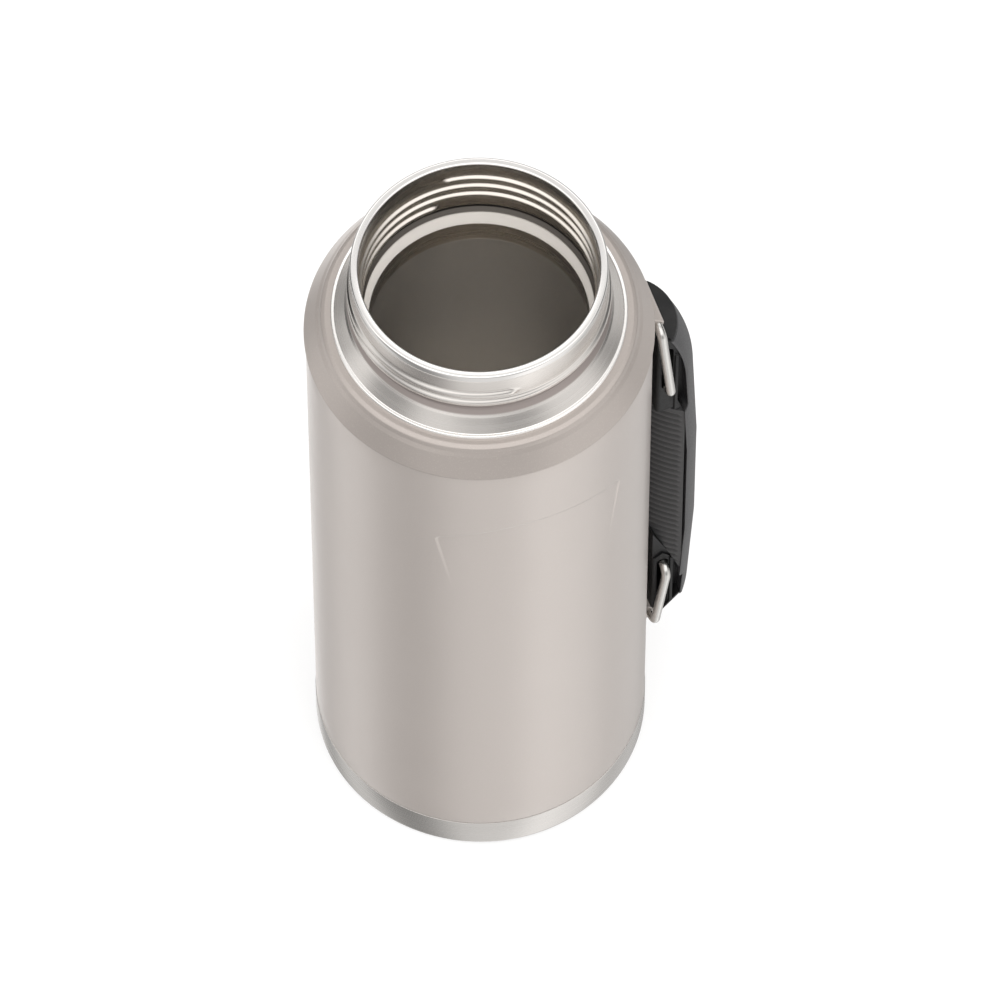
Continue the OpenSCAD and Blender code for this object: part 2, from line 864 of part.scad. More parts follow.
module handle_screws() {
    color(steel)
    for (z = [upper_screw_z, lower_screw_z])
        translate([face_x + screw_sink - screw_head_h, 0, z])
            rotate([0, 90, 0])
                difference() {
                    union() {
                        cylinder(r = screw_head_r, h = screw_head_h, $fn = 48);
                        cylinder(r = screw_r, h = screw_head_h + screw_l, $fn = 48);
                    }
                    translate([0, 0, -past])
                        cylinder(r = 1.1, h = past + 1.3, $fn = 6);
                }
}

outer_wall();
shoulder();
neck_ring();
inner_liner();
liner_bottom();
foil_wrap();
outer_bottom();
vacuum_seal();
getter_cup();
getter();
base_cup();
upper_bracket();
lower_bracket();
upper_bail();
lower_bail();
handle_frame();
handle_cover();
handle_grip();
handle_screws();
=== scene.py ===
"""Insulated food jar with a carrying handle on two wire bails.

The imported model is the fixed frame. The pieces that show are modelled again here at the
same sizes, with rounded edges, rolled threads and moulded ribs, and every piece gets a
procedural finish. Lengths in the size classes are millimetres, and the row frame has its
origin under the base with +Z up, +X towards the handle and -Y towards the front panel.
"""

import json
import logging
import math
from collections.abc import Callable, Iterator, Sequence
from contextlib import contextmanager
from dataclasses import dataclass, field, replace
from enum import Enum

import bmesh
import bpy
from mathutils import Matrix, Vector

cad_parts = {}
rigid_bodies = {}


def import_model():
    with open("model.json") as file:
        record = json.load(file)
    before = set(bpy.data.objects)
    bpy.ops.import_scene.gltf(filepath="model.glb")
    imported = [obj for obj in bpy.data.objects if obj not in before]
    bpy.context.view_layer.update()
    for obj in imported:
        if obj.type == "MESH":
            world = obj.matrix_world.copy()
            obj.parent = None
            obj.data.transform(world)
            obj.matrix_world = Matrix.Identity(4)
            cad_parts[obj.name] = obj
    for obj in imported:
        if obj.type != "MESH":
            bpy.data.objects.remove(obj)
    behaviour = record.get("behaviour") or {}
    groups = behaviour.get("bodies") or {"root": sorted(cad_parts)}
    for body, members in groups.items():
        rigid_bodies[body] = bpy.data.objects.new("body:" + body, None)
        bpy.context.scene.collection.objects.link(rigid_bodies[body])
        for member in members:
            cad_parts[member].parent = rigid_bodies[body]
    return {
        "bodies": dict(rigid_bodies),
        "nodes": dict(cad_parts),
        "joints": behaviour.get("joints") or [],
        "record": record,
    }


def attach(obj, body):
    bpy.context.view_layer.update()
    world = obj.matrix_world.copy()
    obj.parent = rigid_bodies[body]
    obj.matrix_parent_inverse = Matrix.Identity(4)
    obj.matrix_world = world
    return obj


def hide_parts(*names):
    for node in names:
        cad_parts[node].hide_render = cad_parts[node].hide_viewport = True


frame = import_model()

MM = 0.001
# Points nearer than this, in metres, become one point
WELD = 2e-6
# How far tool bodies reach to each side of the handle, in millimetres
REACH = 20.0
# Sizes that several pieces share, in millimetres
BODY_R = 53.0
PIVOT_X = 55.2
UPPER_PIVOT_Z = 215.5
LOWER_PIVOT_Z = 37.5
log = logging.getLogger("food_jar")

Outline = list[tuple[float, float]]
Colour = tuple[float, float, float]


class Body(Enum):
    """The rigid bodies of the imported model."""

    JAR = "jar"
    UPPER_BAIL = "upper_bail"
    LOWER_BAIL = "lower_bail"
    HANDLE = "handle"


# ---------------------------------------------------------------- modelling tools


def only(obj: bpy.types.Object) -> None:
    """Selects one object and makes it active.

    Args:
        obj: The object.
    """
    bpy.ops.object.select_all(action="DESELECT")
    obj.select_set(True)
    bpy.context.view_layer.objects.active = obj


@contextmanager
def editing(obj: bpy.types.Object, element: str = "VERT") -> Iterator[None]:
    """Holds an object in edit mode, with all of it selected at the start.

    Args:
        obj: The mesh object.
        element: The kind of element that is selected, VERT, EDGE or FACE.
    """
    only(obj)
    bpy.ops.object.mode_set(mode="EDIT")
    bpy.ops.mesh.select_mode(type=element)
    bpy.ops.mesh.select_all(action="SELECT")
    yield
    bpy.ops.object.mode_set(mode="OBJECT")


def applied(obj: bpy.types.Object, kind: str, **settings: object) -> None:
    """Adds a modifier to an object, sets it and applies it.

    Args:
        obj: The mesh object.
        kind: The modifier's type.
        settings: Its properties.
    """
    only(obj)
    mod = obj.modifiers.new(kind.lower(), kind)
    for key, value in settings.items():
        setattr(mod, key, value)
    bpy.ops.object.modifier_apply(modifier=mod.name)


def bevelled(obj: bpy.types.Object, width: float, segments: int = 3, angle: float = 35) -> None:
    """Rounds the edges sharper than an angle in degrees, with the width in millimetres."""
    applied(obj, "BEVEL", width=width * MM, segments=segments, limit_method="ANGLE",
            angle_limit=math.radians(angle), use_clamp_overlap=True)


def cut(obj: bpy.types.Object, *tools: bpy.types.Object, how: str = "DIFFERENCE") -> None:
    """Cuts tool bodies out of a piece, or joins them to it, and deletes them.

    Args:
        obj: The piece.
        tools: The tool bodies.
        how: The Boolean operation, DIFFERENCE or UNION.
    """
    for tool in tools:
        applied(obj, "BOOLEAN", operation=how, solver="EXACT", object=tool)
        bpy.data.objects.remove(tool)


def round_edges(obj: bpy.types.Object, width: float, test: Callable[[Vector], bool]) -> None:
    """Rounds the edges of a piece whose middles pass a test.

    Args:
        obj: The piece.
        width: Width of the rounding in millimetres.
        test: Says of an edge's middle in millimetres whether that edge is rounded.
    """
    with editing(obj, "EDGE"):
        bpy.ops.mesh.select_all(action="DESELECT")
        for edge in bmesh.from_edit_mesh(obj.data).edges:
            edge.select_set(test((edge.verts[0].co + edge.verts[1].co) / 2 / MM))
        bmesh.update_edit_mesh(obj.data)
        bpy.ops.mesh.bevel(offset=width * MM, segments=4)


def close_up(obj: bpy.types.Object) -> None:
    """Merges doubled points, drops loose ones and turns all faces outwards.

    Args:
        obj: The piece.
    """
    with editing(obj):
        bpy.ops.mesh.remove_doubles(threshold=WELD)
        bpy.ops.mesh.delete_loose()
        bpy.ops.mesh.select_all(action="SELECT")
        bpy.ops.mesh.normals_make_consistent(inside=False)


def wire_outline(name: str, points: Sequence[Sequence[float]]) -> bpy.types.Object:
    """Adds a closed outline, made from a circle whose points are moved into place.

    Args:
        name: Name of the new object.
        points: The outline's points in millimetres, in order.

    Returns:
        The outline as an object without faces.
    """
    bpy.ops.object.select_all(action="DESELECT")
    bpy.ops.mesh.primitive_circle_add(vertices=len(points), radius=MM)
    obj = bpy.context.active_object
    obj.name = name
    for vertex, point in zip(obj.data.vertices, points, strict=True):
        vertex.co = Vector(point) * MM
    return obj


def raised(obj: bpy.types.Object, way: Sequence[float], rows: int = 1) -> None:
    """Fills an outline and extrudes it.

    Args:
        obj: The outline.
        way: How far each row goes in millimetres.
        rows: Number of rows.
    """
    with editing(obj):
        bpy.ops.mesh.edge_face_add()
        for _ in range(rows):
            bpy.ops.mesh.extrude_region_move(
                TRANSFORM_OT_translate={"value": tuple(d * MM for d in way)})


def rod(name: str, centre: Sequence[float], axis: str, radius: float, length: float,
        sides: int = 48) -> bpy.types.Object:
    """Adds a plain round body, such as a tool for a hole.

    Args:
        name: Name of the new object.
        centre: Its middle in millimetres.
        axis: The axis that it lies along, X, Y or Z.
        radius: Its radius in millimetres.
        length: Its length in millimetres.
        sides: Number of its sides.

    Returns:
        The new object.
    """
    quarter = math.pi / 2
    turn = {"X": (0, quarter, 0), "Y": (quarter, 0, 0), "Z": (0, 0, 0)}[axis]
    bpy.ops.object.select_all(action="DESELECT")
    bpy.ops.mesh.primitive_cylinder_add(
        vertices=sides, radius=radius * MM, depth=length * MM, rotation=turn,
        location=Vector(centre) * MM)
    obj = bpy.context.active_object
    obj.name = name
    return obj


def rounded(corners: Sequence[tuple[float, float, float]], pieces: int = 4) -> Outline:
    """Rounds the corners of a closed outline.

    Args:
        corners: Each corner as its two coordinates and its rounding radius.
        pieces: Number of short edges in each rounding.

    Returns:
        The points of the rounded outline.
    """
    out: Outline = []
    for i, (x, y, radius) in enumerate(corners):
        here = Vector((x, y))
        if radius <= 0:
            out.append((x, y))
            continue
        before = Vector(corners[i - 1][:2]) - here
        after = Vector(corners[(i + 1) % len(corners)][:2]) - here
        half = before.angle(after) / 2
        reach = min(radius / math.tan(half), 0.45 * before.length, 0.45 * after.length)
        start, end = here + before.normalized() * reach, here + after.normalized() * reach
        for k in range(pieces + 1):
            t = k / pieces
            out.append(tuple(start * (1 - t) ** 2 + here * 2 * t * (1 - t) + end * t * t))
    return out


def divided(outline: Outline, low: float, high: float, step: float) -> Outline:
    """Divides the long edges of a turned outline between two heights into short ones.

    Args:
        outline: The points of the outline.
        low: The lower height.
        high: The upper height.
        step: Length of the short edges.

    Returns:
        The points of the finer outline.
    """
    out: Outline = []
    for i, (x, y) in enumerate(outline):
        out.append((x, y))
        nx, ny = outline[(i + 1) % len(outline)]
        if low <= (y + ny) / 2 <= high and abs(ny - y) > step:
            count = int(abs(ny - y) / step)
            out += [(x + (nx - x) * k / count, y + (ny - y) * k / count) for k in range(1, count)]
    return out


def turned(
    name: str, outline: Outline, arcs: Sequence[tuple[float, int]] = ((360, 288),)
) -> bpy.types.Object:
    """Spins an outline of radius and height once round the jar's axis.

    Args:
        name: Name of the new object.
        outline: Radius and height of each point, as a closed outline.
        arcs: The angle in degrees and the number of divisions of each part of the turn,
            which starts at +X and goes clockwise.

    Returns:
        The turned piece.
    """
    obj = wire_outline(name, [(r, 0, z) for r, z in outline])
    with editing(obj):
        for angle, steps in arcs:
            bpy.ops.mesh.spin(steps=steps, angle=math.radians(angle), center=(0, 0, 0),
                              axis=(0, 0, 1))
    close_up(obj)
    return obj


def prism(name: str, outline: Outline, low: float, high: float) -> bpy.types.Object:
    """Extrudes a side outline of x and z along Y.

    Args:
        name: Name of the new object.
        outline: The x and z of each point, as a closed outline.
        low: The y where the piece starts.
        high: The y where it ends.

    Returns:
        The extruded piece.
    """
    obj = wire_outline(name, [(x, low, z) for x, z in outline])
    raised(obj, (0, high - low, 0))
    close_up(obj)
    return obj


def move_out(vertex: bpy.types.MeshVertex, share: float) -> None:
    """Moves a point away from the jar's axis by a share of its radius."""
    vertex.co.x *= 1 + share
    vertex.co.y *= 1 + share


def finish_piece(
    obj: bpy.types.Object,
    material: bpy.types.Material,
    body: Body,
    slot: str,
    *nodes: str,
    crease: float = 40,
) -> None:
    """Shades a piece, dresses it, and tells the frame what it rides on and stands for.

    Args:
        obj: The finished piece.
        material: Its finish.
        body: The body that it moves with.
        slot: The record's material slot that it belongs to. Not used.
        nodes: The CAD nodes that it stands for.
        crease: Edges sharper than this angle in degrees stay sharp.
    """
    only(obj)
    bpy.ops.object.transform_apply(location=True, rotation=True, scale=True)
    bpy.ops.object.shade_smooth_by_angle(angle=math.radians(crease))
    obj.data.materials.clear()
    obj.data.materials.append(material)
    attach(obj, body.value)
    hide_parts(*nodes)
    log.info("%s: %d faces on %s", obj.name, len(obj.data.polygons), body.value)


# ---------------------------------------------------------------- shader tools


def shade(colour: Sequence[float], factor: float) -> tuple[float, float, float, float]:
    """A colour made lighter or darker, with full alpha."""
    return (*[min(1.0, c * factor) for c in colour[:3]], 1.0)


class Tree:
    """Short hand for building one node tree."""

    def __init__(self, tree: bpy.types.NodeTree) -> None:
        """Takes the tree that the nodes go into."""
        self.tree = tree

    def fill(self, node: bpy.types.Node, inputs: dict[str, object]) -> None:
        """Fills a node's inputs.

        Args:
            node: The node.
            inputs: Values or output sockets, by input name with _ for a space, or i and
                a number for an input's place.
        """
        for key, value in inputs.items():
            place = key[0] == "i" and key[1:].isdigit()
            socket = node.inputs[int(key[1:]) if place else key.replace("_", " ")]
            if isinstance(value, bpy.types.NodeSocket):
                self.tree.links.new(value, socket)
            else:
                socket.default_value = value

    def add(self, kind: str, settings: dict | None = None, **inputs: object) -> bpy.types.Node:
        """Adds a node.

        Args:
            kind: The node's type name without its ShaderNode prefix.
            settings: Properties of the node itself.
            inputs: What its inputs hold, as fill takes it.

        Returns:
            The new node.
        """
        node = self.tree.nodes.new("ShaderNode" + kind)
        for key, value in (settings or {}).items():
            setattr(node, key, value)
        self.fill(node, inputs)
        return node

    def math(self, operation: str, a: object, b: object = 0.0) -> object:
        """Adds a Math node and returns its output."""
        return self.add("Math", {"operation": operation}, i0=a, i1=b).outputs[0]

    def times(self, a: object, b: object) -> object:
        """Multiplies two numbers and returns the product."""
        return self.math("MULTIPLY", a, b)

    def plus(self, a: object, b: object) -> object:
        """Adds two numbers and returns the sum."""
        return self.math("ADD", a, b)

    def blend(self, factor: object, low: object, high: object) -> object:
        """Mixes two colours and returns the result."""
        return self.add("Mix", {"data_type": "RGBA"}, i0=factor, i6=low, i7=high).outputs[2]

    def vary(self, factor: object, colour: Colour, low: float, high: float) -> object:
        """Mixes a colour between two factors of its lightness and returns the result."""
        return self.blend(factor, shade(colour, low), shade(colour, high))

    def mix(self, factor: object, low: object, high: object) -> object:
        """Mixes two numbers and returns the result."""
        return self.add("Mix", {"data_type": "FLOAT"}, i0=factor, i2=low, i3=high).outputs[0]

    def span(self, value: object, low: float, high: float, to_low: float = 0.0,
             to_high: float = 1.0) -> object:
        """Maps a value smoothly from one range to another and returns it."""
        return self.add("MapRange", {"interpolation_type": "SMOOTHSTEP"}, i0=value, i1=low,
                        i2=high, i3=to_low, i4=to_high).outputs[0]

    def near(self, value: object, middle: float, low: float, high: float, by: float) -> object:
        """Maps a value from one range to a middle, less or more a little, and returns it."""
        return self.span(value, low, high, middle - by, middle + by)

    def place(self) -> object:
        """Adds the Object coordinate and returns it."""
        return self.add("TexCoord").outputs["Object"]

    def split(self, vector: object) -> Sequence[object]:
        """Splits a vector and returns its x, y and z."""
        return self.add("SeparateXYZ", Vector=vector).outputs

    def noise(self, place: object, scale: object, detail: float, rough: float = 0.5) -> object:
        """Adds a Noise Texture and returns its value."""
        return self.add("TexNoise", Vector=place, Scale=scale, Detail=detail,
                        Roughness=rough).outputs[0]

    def group(self, tree: bpy.types.NodeTree, **inputs: object) -> Sequence[object]:
        """Places a node group, fills its inputs and returns its outputs."""
        return self.add("Group", {"node_tree": tree}, **inputs).outputs


def blank(name: str) -> tuple[bpy.types.Material, Tree]:
    """Makes a material without nodes.

    Args:
        name: Name of the material.

    Returns:
        The material and its tree's short hand.
    """
    material = bpy.data.materials.new(name)
    material.use_nodes = True
    material.node_tree.nodes.clear()
    return material, Tree(material.node_tree)


class Effects:
    """The effects that several finishes share, each a node group that is built once."""

    def __init__(self) -> None:
        """Builds all groups."""
        self.grain = self._grain()
        self.turned_rings = self._turned_rings()
        self.edge_wear = self._edge_wear()
        self.dust = self._dust()
        self.zone = self._zone()

    @staticmethod
    def _new(
        name: str, inputs: dict[str, float], *outputs: str
    ) -> tuple[Tree, Sequence[object], bpy.types.Node]:
        """Starts a node group.

        Args:
            name: Name of the group.
            inputs: Names and first values of its number inputs.
            outputs: Names of its number outputs.

        Returns:
            The tree's short hand, the sockets of its inputs and its output node.
        """
        tree = bpy.data.node_groups.new(name, "ShaderNodeTree")
        for key, value in inputs.items():
            socket = tree.interface.new_socket(key, in_out="INPUT", socket_type="NodeSocketFloat")
            socket.default_value = value
        for key in outputs:
            tree.interface.new_socket(key, in_out="OUTPUT", socket_type="NodeSocketFloat")
        source = tree.nodes.new("NodeGroupInput")
        return Tree(tree), source.outputs, tree.nodes.new("NodeGroupOutput")

    def _grain(self) -> bpy.types.NodeTree:
        """Fine even grain: a height for bumps and a slow cloud for colour.

        Returns:
            The group.
        """
        t, given, sink = self._new("FineGrain", {"Scale": 2500.0, "Cloud Scale": 30.0},
                                   "Height", "Cloud")
        place = t.place()
        t.fill(sink, {"Height": t.noise(place, given["Scale"], 3.0, 0.6),
                      "Cloud": t.noise(place, given["Cloud Scale"], 4.0)})
        return t.tree

    def _turned_rings(self) -> bpy.types.NodeTree:
        """Fine lines round the jar's axis, as turning and polishing leave them.

        Returns:
            The group.
        """
        t, given, sink = self._new("TurnedRings", {"Fineness": 3000.0, "Wander": 6.0},
                                   "Lines", "Bands")
        x, y, z = t.split(t.place())
        along = t.plus(t.math("SQRT", t.plus(t.times(x, x), t.times(y, y))), z)
        lines = t.add("CombineXYZ", X=t.times(x, given["Wander"]), Y=t.times(y, given["Wander"]),
                      Z=t.times(along, given["Fineness"]))
        bands = t.add("CombineXYZ", X=x, Y=y, Z=t.times(along, 260.0))
        t.fill(sink, {"Lines": t.noise(lines.outputs[0], 1.0, 2.0, 0.7),
                      "Bands": t.noise(bands.outputs[0], 1.0, 3.0)})
        return t.tree

    def _edge_wear(self) -> bpy.types.NodeTree:
        """A broken mask along outer edges, where handling rubs.

        Returns:
            The group.
        """
        t, given, sink = self._new("EdgeWear", {"Sharpness": 0.56, "Breakup": 900.0}, "Mask")
        point = t.add("NewGeometry").outputs["Pointiness"]
        edge = t.span(t.math("SUBTRACT", point, given["Sharpness"]), 0.0, 0.12)
        broken = t.span(t.noise(t.place(), given["Breakup"], 4.0), 0.35, 0.7)
        t.fill(sink, {"Mask": t.times(edge, broken)})
        return t.tree

    def _dust(self) -> bpy.types.NodeTree:
        """A thin film on what faces up.

        Returns:
            The group.
        """
        t, given, sink = self._new("DustFilm", {"Spread": 60.0}, "Mask")
        up = t.span(t.split(t.add("NewGeometry").outputs["Normal"])[2], 0.2, 1.0)
        broken = t.span(t.noise(t.place(), given["Spread"], 6.0), 0.4, 0.75)
        t.fill(sink, {"Mask": t.times(up, broken)})
        return t.tree

    def _zone(self) -> bpy.types.NodeTree:
        """A soft-edged band between two heights.

        Returns:
            The group.
        """
        t, given, sink = self._new("HeightZone", {"Low": 0.0, "High": 0.1, "Soft": 0.0003}, "Mask")
        z = t.split(t.place())[2]
        sides = [t.span(t.math("DIVIDE", t.math("SUBTRACT", a, b), given["Soft"]), -1.0, 1.0)
                 for a, b in ((z, given["Low"]), (given["High"], z))]
        t.fill(sink, {"Mask": t.times(*sides)})
        return t.tree


@dataclass
class Look:
    """What a finish puts into its shader: colour, roughness, bump and other inputs."""

    colour: object
    roughness: object
    height: object
    strength: float
    distance: float
    others: dict[str, object]


class Finish:
    """Base of all finishes."""

    def look(self, t: Tree, fx: Effects) -> Look:
        """Builds what goes into the shader.

        Args:
            t: The short hand of the material's tree.
            fx: The shared effects.

        Returns:
            The look.
        """
        raise NotImplementedError

    def build(self, name: str, fx: Effects) -> bpy.types.Material:
        """Makes the material.

        Args:
            name: Name of the material.
            fx: The shared effects.

        Returns:
            The material.
        """
        material, t = blank(name)
        shader = t.add("BsdfPrincipled")
        t.add("OutputMaterial", i0=shader.outputs[0])
        look = self.look(t, fx)
        bump = t.add("Bump", Strength=look.strength, Distance=look.distance, Height=look.height)
        t.fill(shader, {"Base Color": look.colour, "Roughness": look.roughness,
                        "Normal": bump.outputs[0], **look.others})
        return material


@dataclass(frozen=True)
class PowderCoat(Finish):
    """Satin powder coat on steel, with a faint pearl and a fine orange peel."""

    colour: Colour
    metallic: float = 0.45
    roughness: float = 0.34
    speckle: float = 0.05
    coat: float = 0.35

    def look(self, t: Tree, fx: Effects) -> Look:
        """Clouded paint with bright flecks, which rubs paler along its edges.

        Args:
            t: The short hand of the material's tree.
            fx: The shared effects.

        Returns:
            The look.
        """
        grain = t.group(fx.grain, Scale=1500.0, Cloud_Scale=25.0)
        pearl = t.group(fx.grain, Scale=2600.0, Cloud_Scale=700.0)
        wear = t.group(fx.edge_wear, Sharpness=0.6)[0]
        base = t.vary(grain["Cloud"], self.colour, 0.985, 1.015)
        flecks = t.span(pearl["Height"], 0.52, 0.72, 0.0, self.speckle * 4)
        base = t.blend(flecks, base, shade(self.colour, 1.25))
        base = t.blend(t.times(wear, 0.15), base, shade(self.colour, 1.2))
        rough = t.near(grain["Cloud"], self.roughness, 0.2, 0.8, 0.03)
        return Look(base, rough, grain["Height"], 0.12, 0.00008, {
            "Metallic": self.metallic, "Coat Weight": self.coat, "Coat Roughness": 0.22})


@dataclass(frozen=True)
class Zone:
    """A band of a turned piece with its own colour, roughness and metalness, its heights in
    millimetres; several bands hold painted shade and painted highlight.
    """

    low: float
    high: float
    colour: Colour
    roughness: float
    metallic: float
    soft: float = 0.25


@dataclass(frozen=True)
class TurnedSteel(Finish):
    """Stainless steel with fine lines round the jar's axis."""

    colour: Colour
    roughness: float = 0.26
    contrast: float = 0.03
    zones: tuple[Zone, ...] = ()

    def look(self, t: Tree, fx: Effects) -> Look:
        """Lines and bands round the axis, then each zone over them, some zones being painted shade
        and painted highlight.

        Args:
            t: The short hand of the material's tree.
            fx: The shared effects.

        Returns:
            The look.
        """
        rings = t.group(fx.turned_rings)
        cloud = t.group(fx.grain, Scale=1800.0, Cloud_Scale=40.0)["Cloud"]
        base = t.vary(rings["Lines"], self.colour, 1 - self.contrast, 1 + self.contrast)
        base = t.blend(t.times(cloud, 0.12), base, shade(self.colour, 0.8))
        bands = t.span(rings["Bands"], 0.3, 0.7, self.roughness - 0.015, self.roughness + 0.02)
        rough, metal = t.plus(t.near(rings["Lines"], 0.0, 0.25, 0.75, 0.02), bands), 1.0
        for zone in self.zones:
            mask = t.group(fx.zone, Low=zone.low * MM, High=zone.high * MM,
                           Soft=zone.soft * MM)[0]
            base = t.blend(mask, base, shade(zone.colour, 1.0))
            rough = t.mix(mask, rough, zone.roughness)
            metal = t.mix(mask, metal, zone.metallic)
        return Look(base, rough, rings["Lines"], 0.05, 0.00002, {"Metallic": metal})


@dataclass(frozen=True)
class Grained(Finish):
    """A clouded colour over a grain, as on moulded plastic, drawn wire and crinkled foil."""

    colour: Colour
    roughness: float = 0.5
    spread: float = 0.06
    scales: tuple[float, float] = (2200.0, 45.0)
    cloud: float = 0.12
    depth: float = 0.25
    height: float = 0.0001
    wear: float = 0.25
    metallic: float = 0.0
    sheen: float = 0.0
    gloss: float = 0.5

    def look(self, t: Tree, fx: Effects) -> Look:
        """Grain and cloud; what wears also rubs paler along its edges and holds dust.

        Args:
            t: The short hand of the material's tree.
            fx: The shared effects.

        Returns:
            The look.
        """
        grain = t.group(fx.grain, Scale=self.scales[0], Cloud_Scale=self.scales[1])
        base = t.vary(grain["Cloud"], self.colour, 1 - self.cloud, 1 + self.cloud)
        if self.wear:
            wear = t.times(t.group(fx.edge_wear, Sharpness=0.55)[0], self.wear)
            base = t.blend(wear, base, shade([c + 0.05 for c in self.colour], 1.6))
            base = t.blend(t.times(t.group(fx.dust)[0], 0.05), base, (0.3, 0.29, 0.28, 1.0))
        rough = t.near(grain["Height"], self.roughness, 0.3, 0.7, self.spread)
        return Look(base, rough, grain["Height"], self.depth, self.height, {
            "Metallic": self.metallic, "Sheen Weight": self.sheen,
            "Specular IOR Level": self.gloss})


@dataclass
class Finishes:
    """All finishes of the jar, made once."""

    effects: Effects = field(default_factory=Effects)

    def __post_init__(self) -> None:
        """Builds each material."""
        fx = self.effects
        self.wall = PowderCoat((0.455, 0.413, 0.386)).build("wall_paint", fx)
        # Painted shade: the shoulder has the wall's paint, made darker to stand for the shade on
        # its sloping face
        self.shoulder = PowderCoat((0.385, 0.347, 0.323), metallic=0.55, speckle=0.12,
                                   coat=0.15).build("shoulder_paint_shaded", fx)
        self.bracket = PowderCoat((0.44, 0.40, 0.372), roughness=0.38).build("bracket_paint", fx)
        self.neck = TurnedSteel((0.74, 0.71, 0.68), roughness=0.25, zones=(
            # Painted shade: a dark band in the groove under the thread
            Zone(248.1, 251.9, (0.34, 0.30, 0.285), 0.45, 0.8),
            # Painted highlight: a pale band along the ledge's rounded outer edge
            Zone(241.0, 243.3, (0.88, 0.86, 0.84), 0.24, 0.9, 0.08))).build("neck_steel", fx)
        self.liner = TurnedSteel((0.70, 0.655, 0.60), roughness=0.28, zones=(
            # Painted shade: a near-black band at the top of the seal seat, where the wall lies in
            # shade
            Zone(242.9, 245.0, (0.11, 0.10, 0.09), 0.45, 0.9, 0.1),
            # Painted highlight over a satin band: the seal band below the seat, its colour raised
            # to near white for the light it catches facing up
            Zone(238.2, 242.7, (1.0, 0.955, 0.90), 0.45, 0.15),
            Zone(110.0, 228.5, (0.80, 0.78, 0.75), 0.35, 0.75, 2.0),
            # Partly real polish, partly painted highlight: the rolled lip, its colour raised to
            # brighten the band it reflects
            Zone(265.2, 269.0, (0.77, 0.755, 0.74), 0.19, 1.0))).build("liner_steel", fx)
        self.base = TurnedSteel((0.62, 0.60, 0.578), roughness=0.27, contrast=0.08).build(
            "base_steel", fx)
        self.hidden = TurnedSteel((0.50, 0.48, 0.46), roughness=0.4).build("inner_steel", fx)
        wire = Grained((0.64, 0.63, 0.61), 0.225, 0.035, (1200.0, 180.0), cloud=0.05,
                       depth=0.08, height=0.00003, wear=0.0, metallic=1.0)
        self.wire = wire.build("bail_wire", fx)
        self.screw = replace(wire, colour=(0.45, 0.45, 0.45), roughness=0.305).build(
            "screw_steel", fx)
        self.foil = Grained((0.80, 0.48, 0.33), 0.3, 0.0, (160.0, 60.0), cloud=0.15, depth=0.4,
                            height=0.0004, wear=0.0, metallic=1.0).build("copper_foil", fx)
        self.frame = Grained((0.009, 0.009, 0.0095), 0.55, gloss=0.3).build("frame_plastic", fx)
        self.cover = Grained((0.035, 0.035, 0.037), 0.42).build("cover_plastic", fx)
        self.grip = Grained((0.035, 0.035, 0.036), 0.62, depth=0.4, sheen=0.1).build(
            "grip_rubber", fx)
        self.seal = Grained((0.30, 0.34, 0.36), 0.25, depth=0.05).build("seal_bead", fx)
        self.getter = Grained((0.10, 0.10, 0.11), 0.8, scales=(900.0, 45.0), depth=0.8).build(
            "getter_pellet", fx)


# ---------------------------------------------------------------- the jar


@dataclass(frozen=True)
class Thread:
    """A right-handed bead rolled into a wall, which falls as it goes clockwise."""

    radius: float
    height: float
    width: float
    pitch: float
    turns: float
    start_deg: float
    start_z: float
    run_out: float = 3.2

    def rise(self, angle_deg: float, z: float) -> float:
        """How far the bead stands over its wall at a point.

        Args:
            angle_deg: Angle round the axis from +X, in degrees.
            z: Height in millimetres.

        Returns:
            The rise in millimetres.
        """
        lead = ((self.start_deg - angle_deg) % 360.0) / 360.0
        best = 0.0
        while lead <= self.turns:
            along = min(lead, self.turns - lead) * 2 * math.pi * self.radius
            across = (z - self.start_z + self.pitch * lead) * 2 / self.width
            away = math.hypot(across, max(0.0, 1 - along / self.run_out))
            if away < 1:
                soft = min(1.0, (1 - away) / 0.7)
                best = max(best, self.height * soft * soft * (3 - 2 * soft))
            lead += 1
        return best

    def roll(self, obj: bpy.types.Object, outward: bool) -> None:
        """Moves the points of a turned wall out to the bead, or in.

        Args:
            obj: The turned piece, whose wall has many rows of points.
            outward: True for a thread on the outside of a wall.
        """
        side = 1 if outward else -1
        top = self.start_z + self.width
        low = self.start_z - self.pitch * self.turns - self.width
        for vertex in obj.data.vertices:
            x, y, z = vertex.co / MM
            r = math.hypot(x, y)
            if low < z < top and abs(r - self.radius) < 0.3:
                move_out(vertex, side * self.rise(math.degrees(math.atan2(y, x)), z) / r)


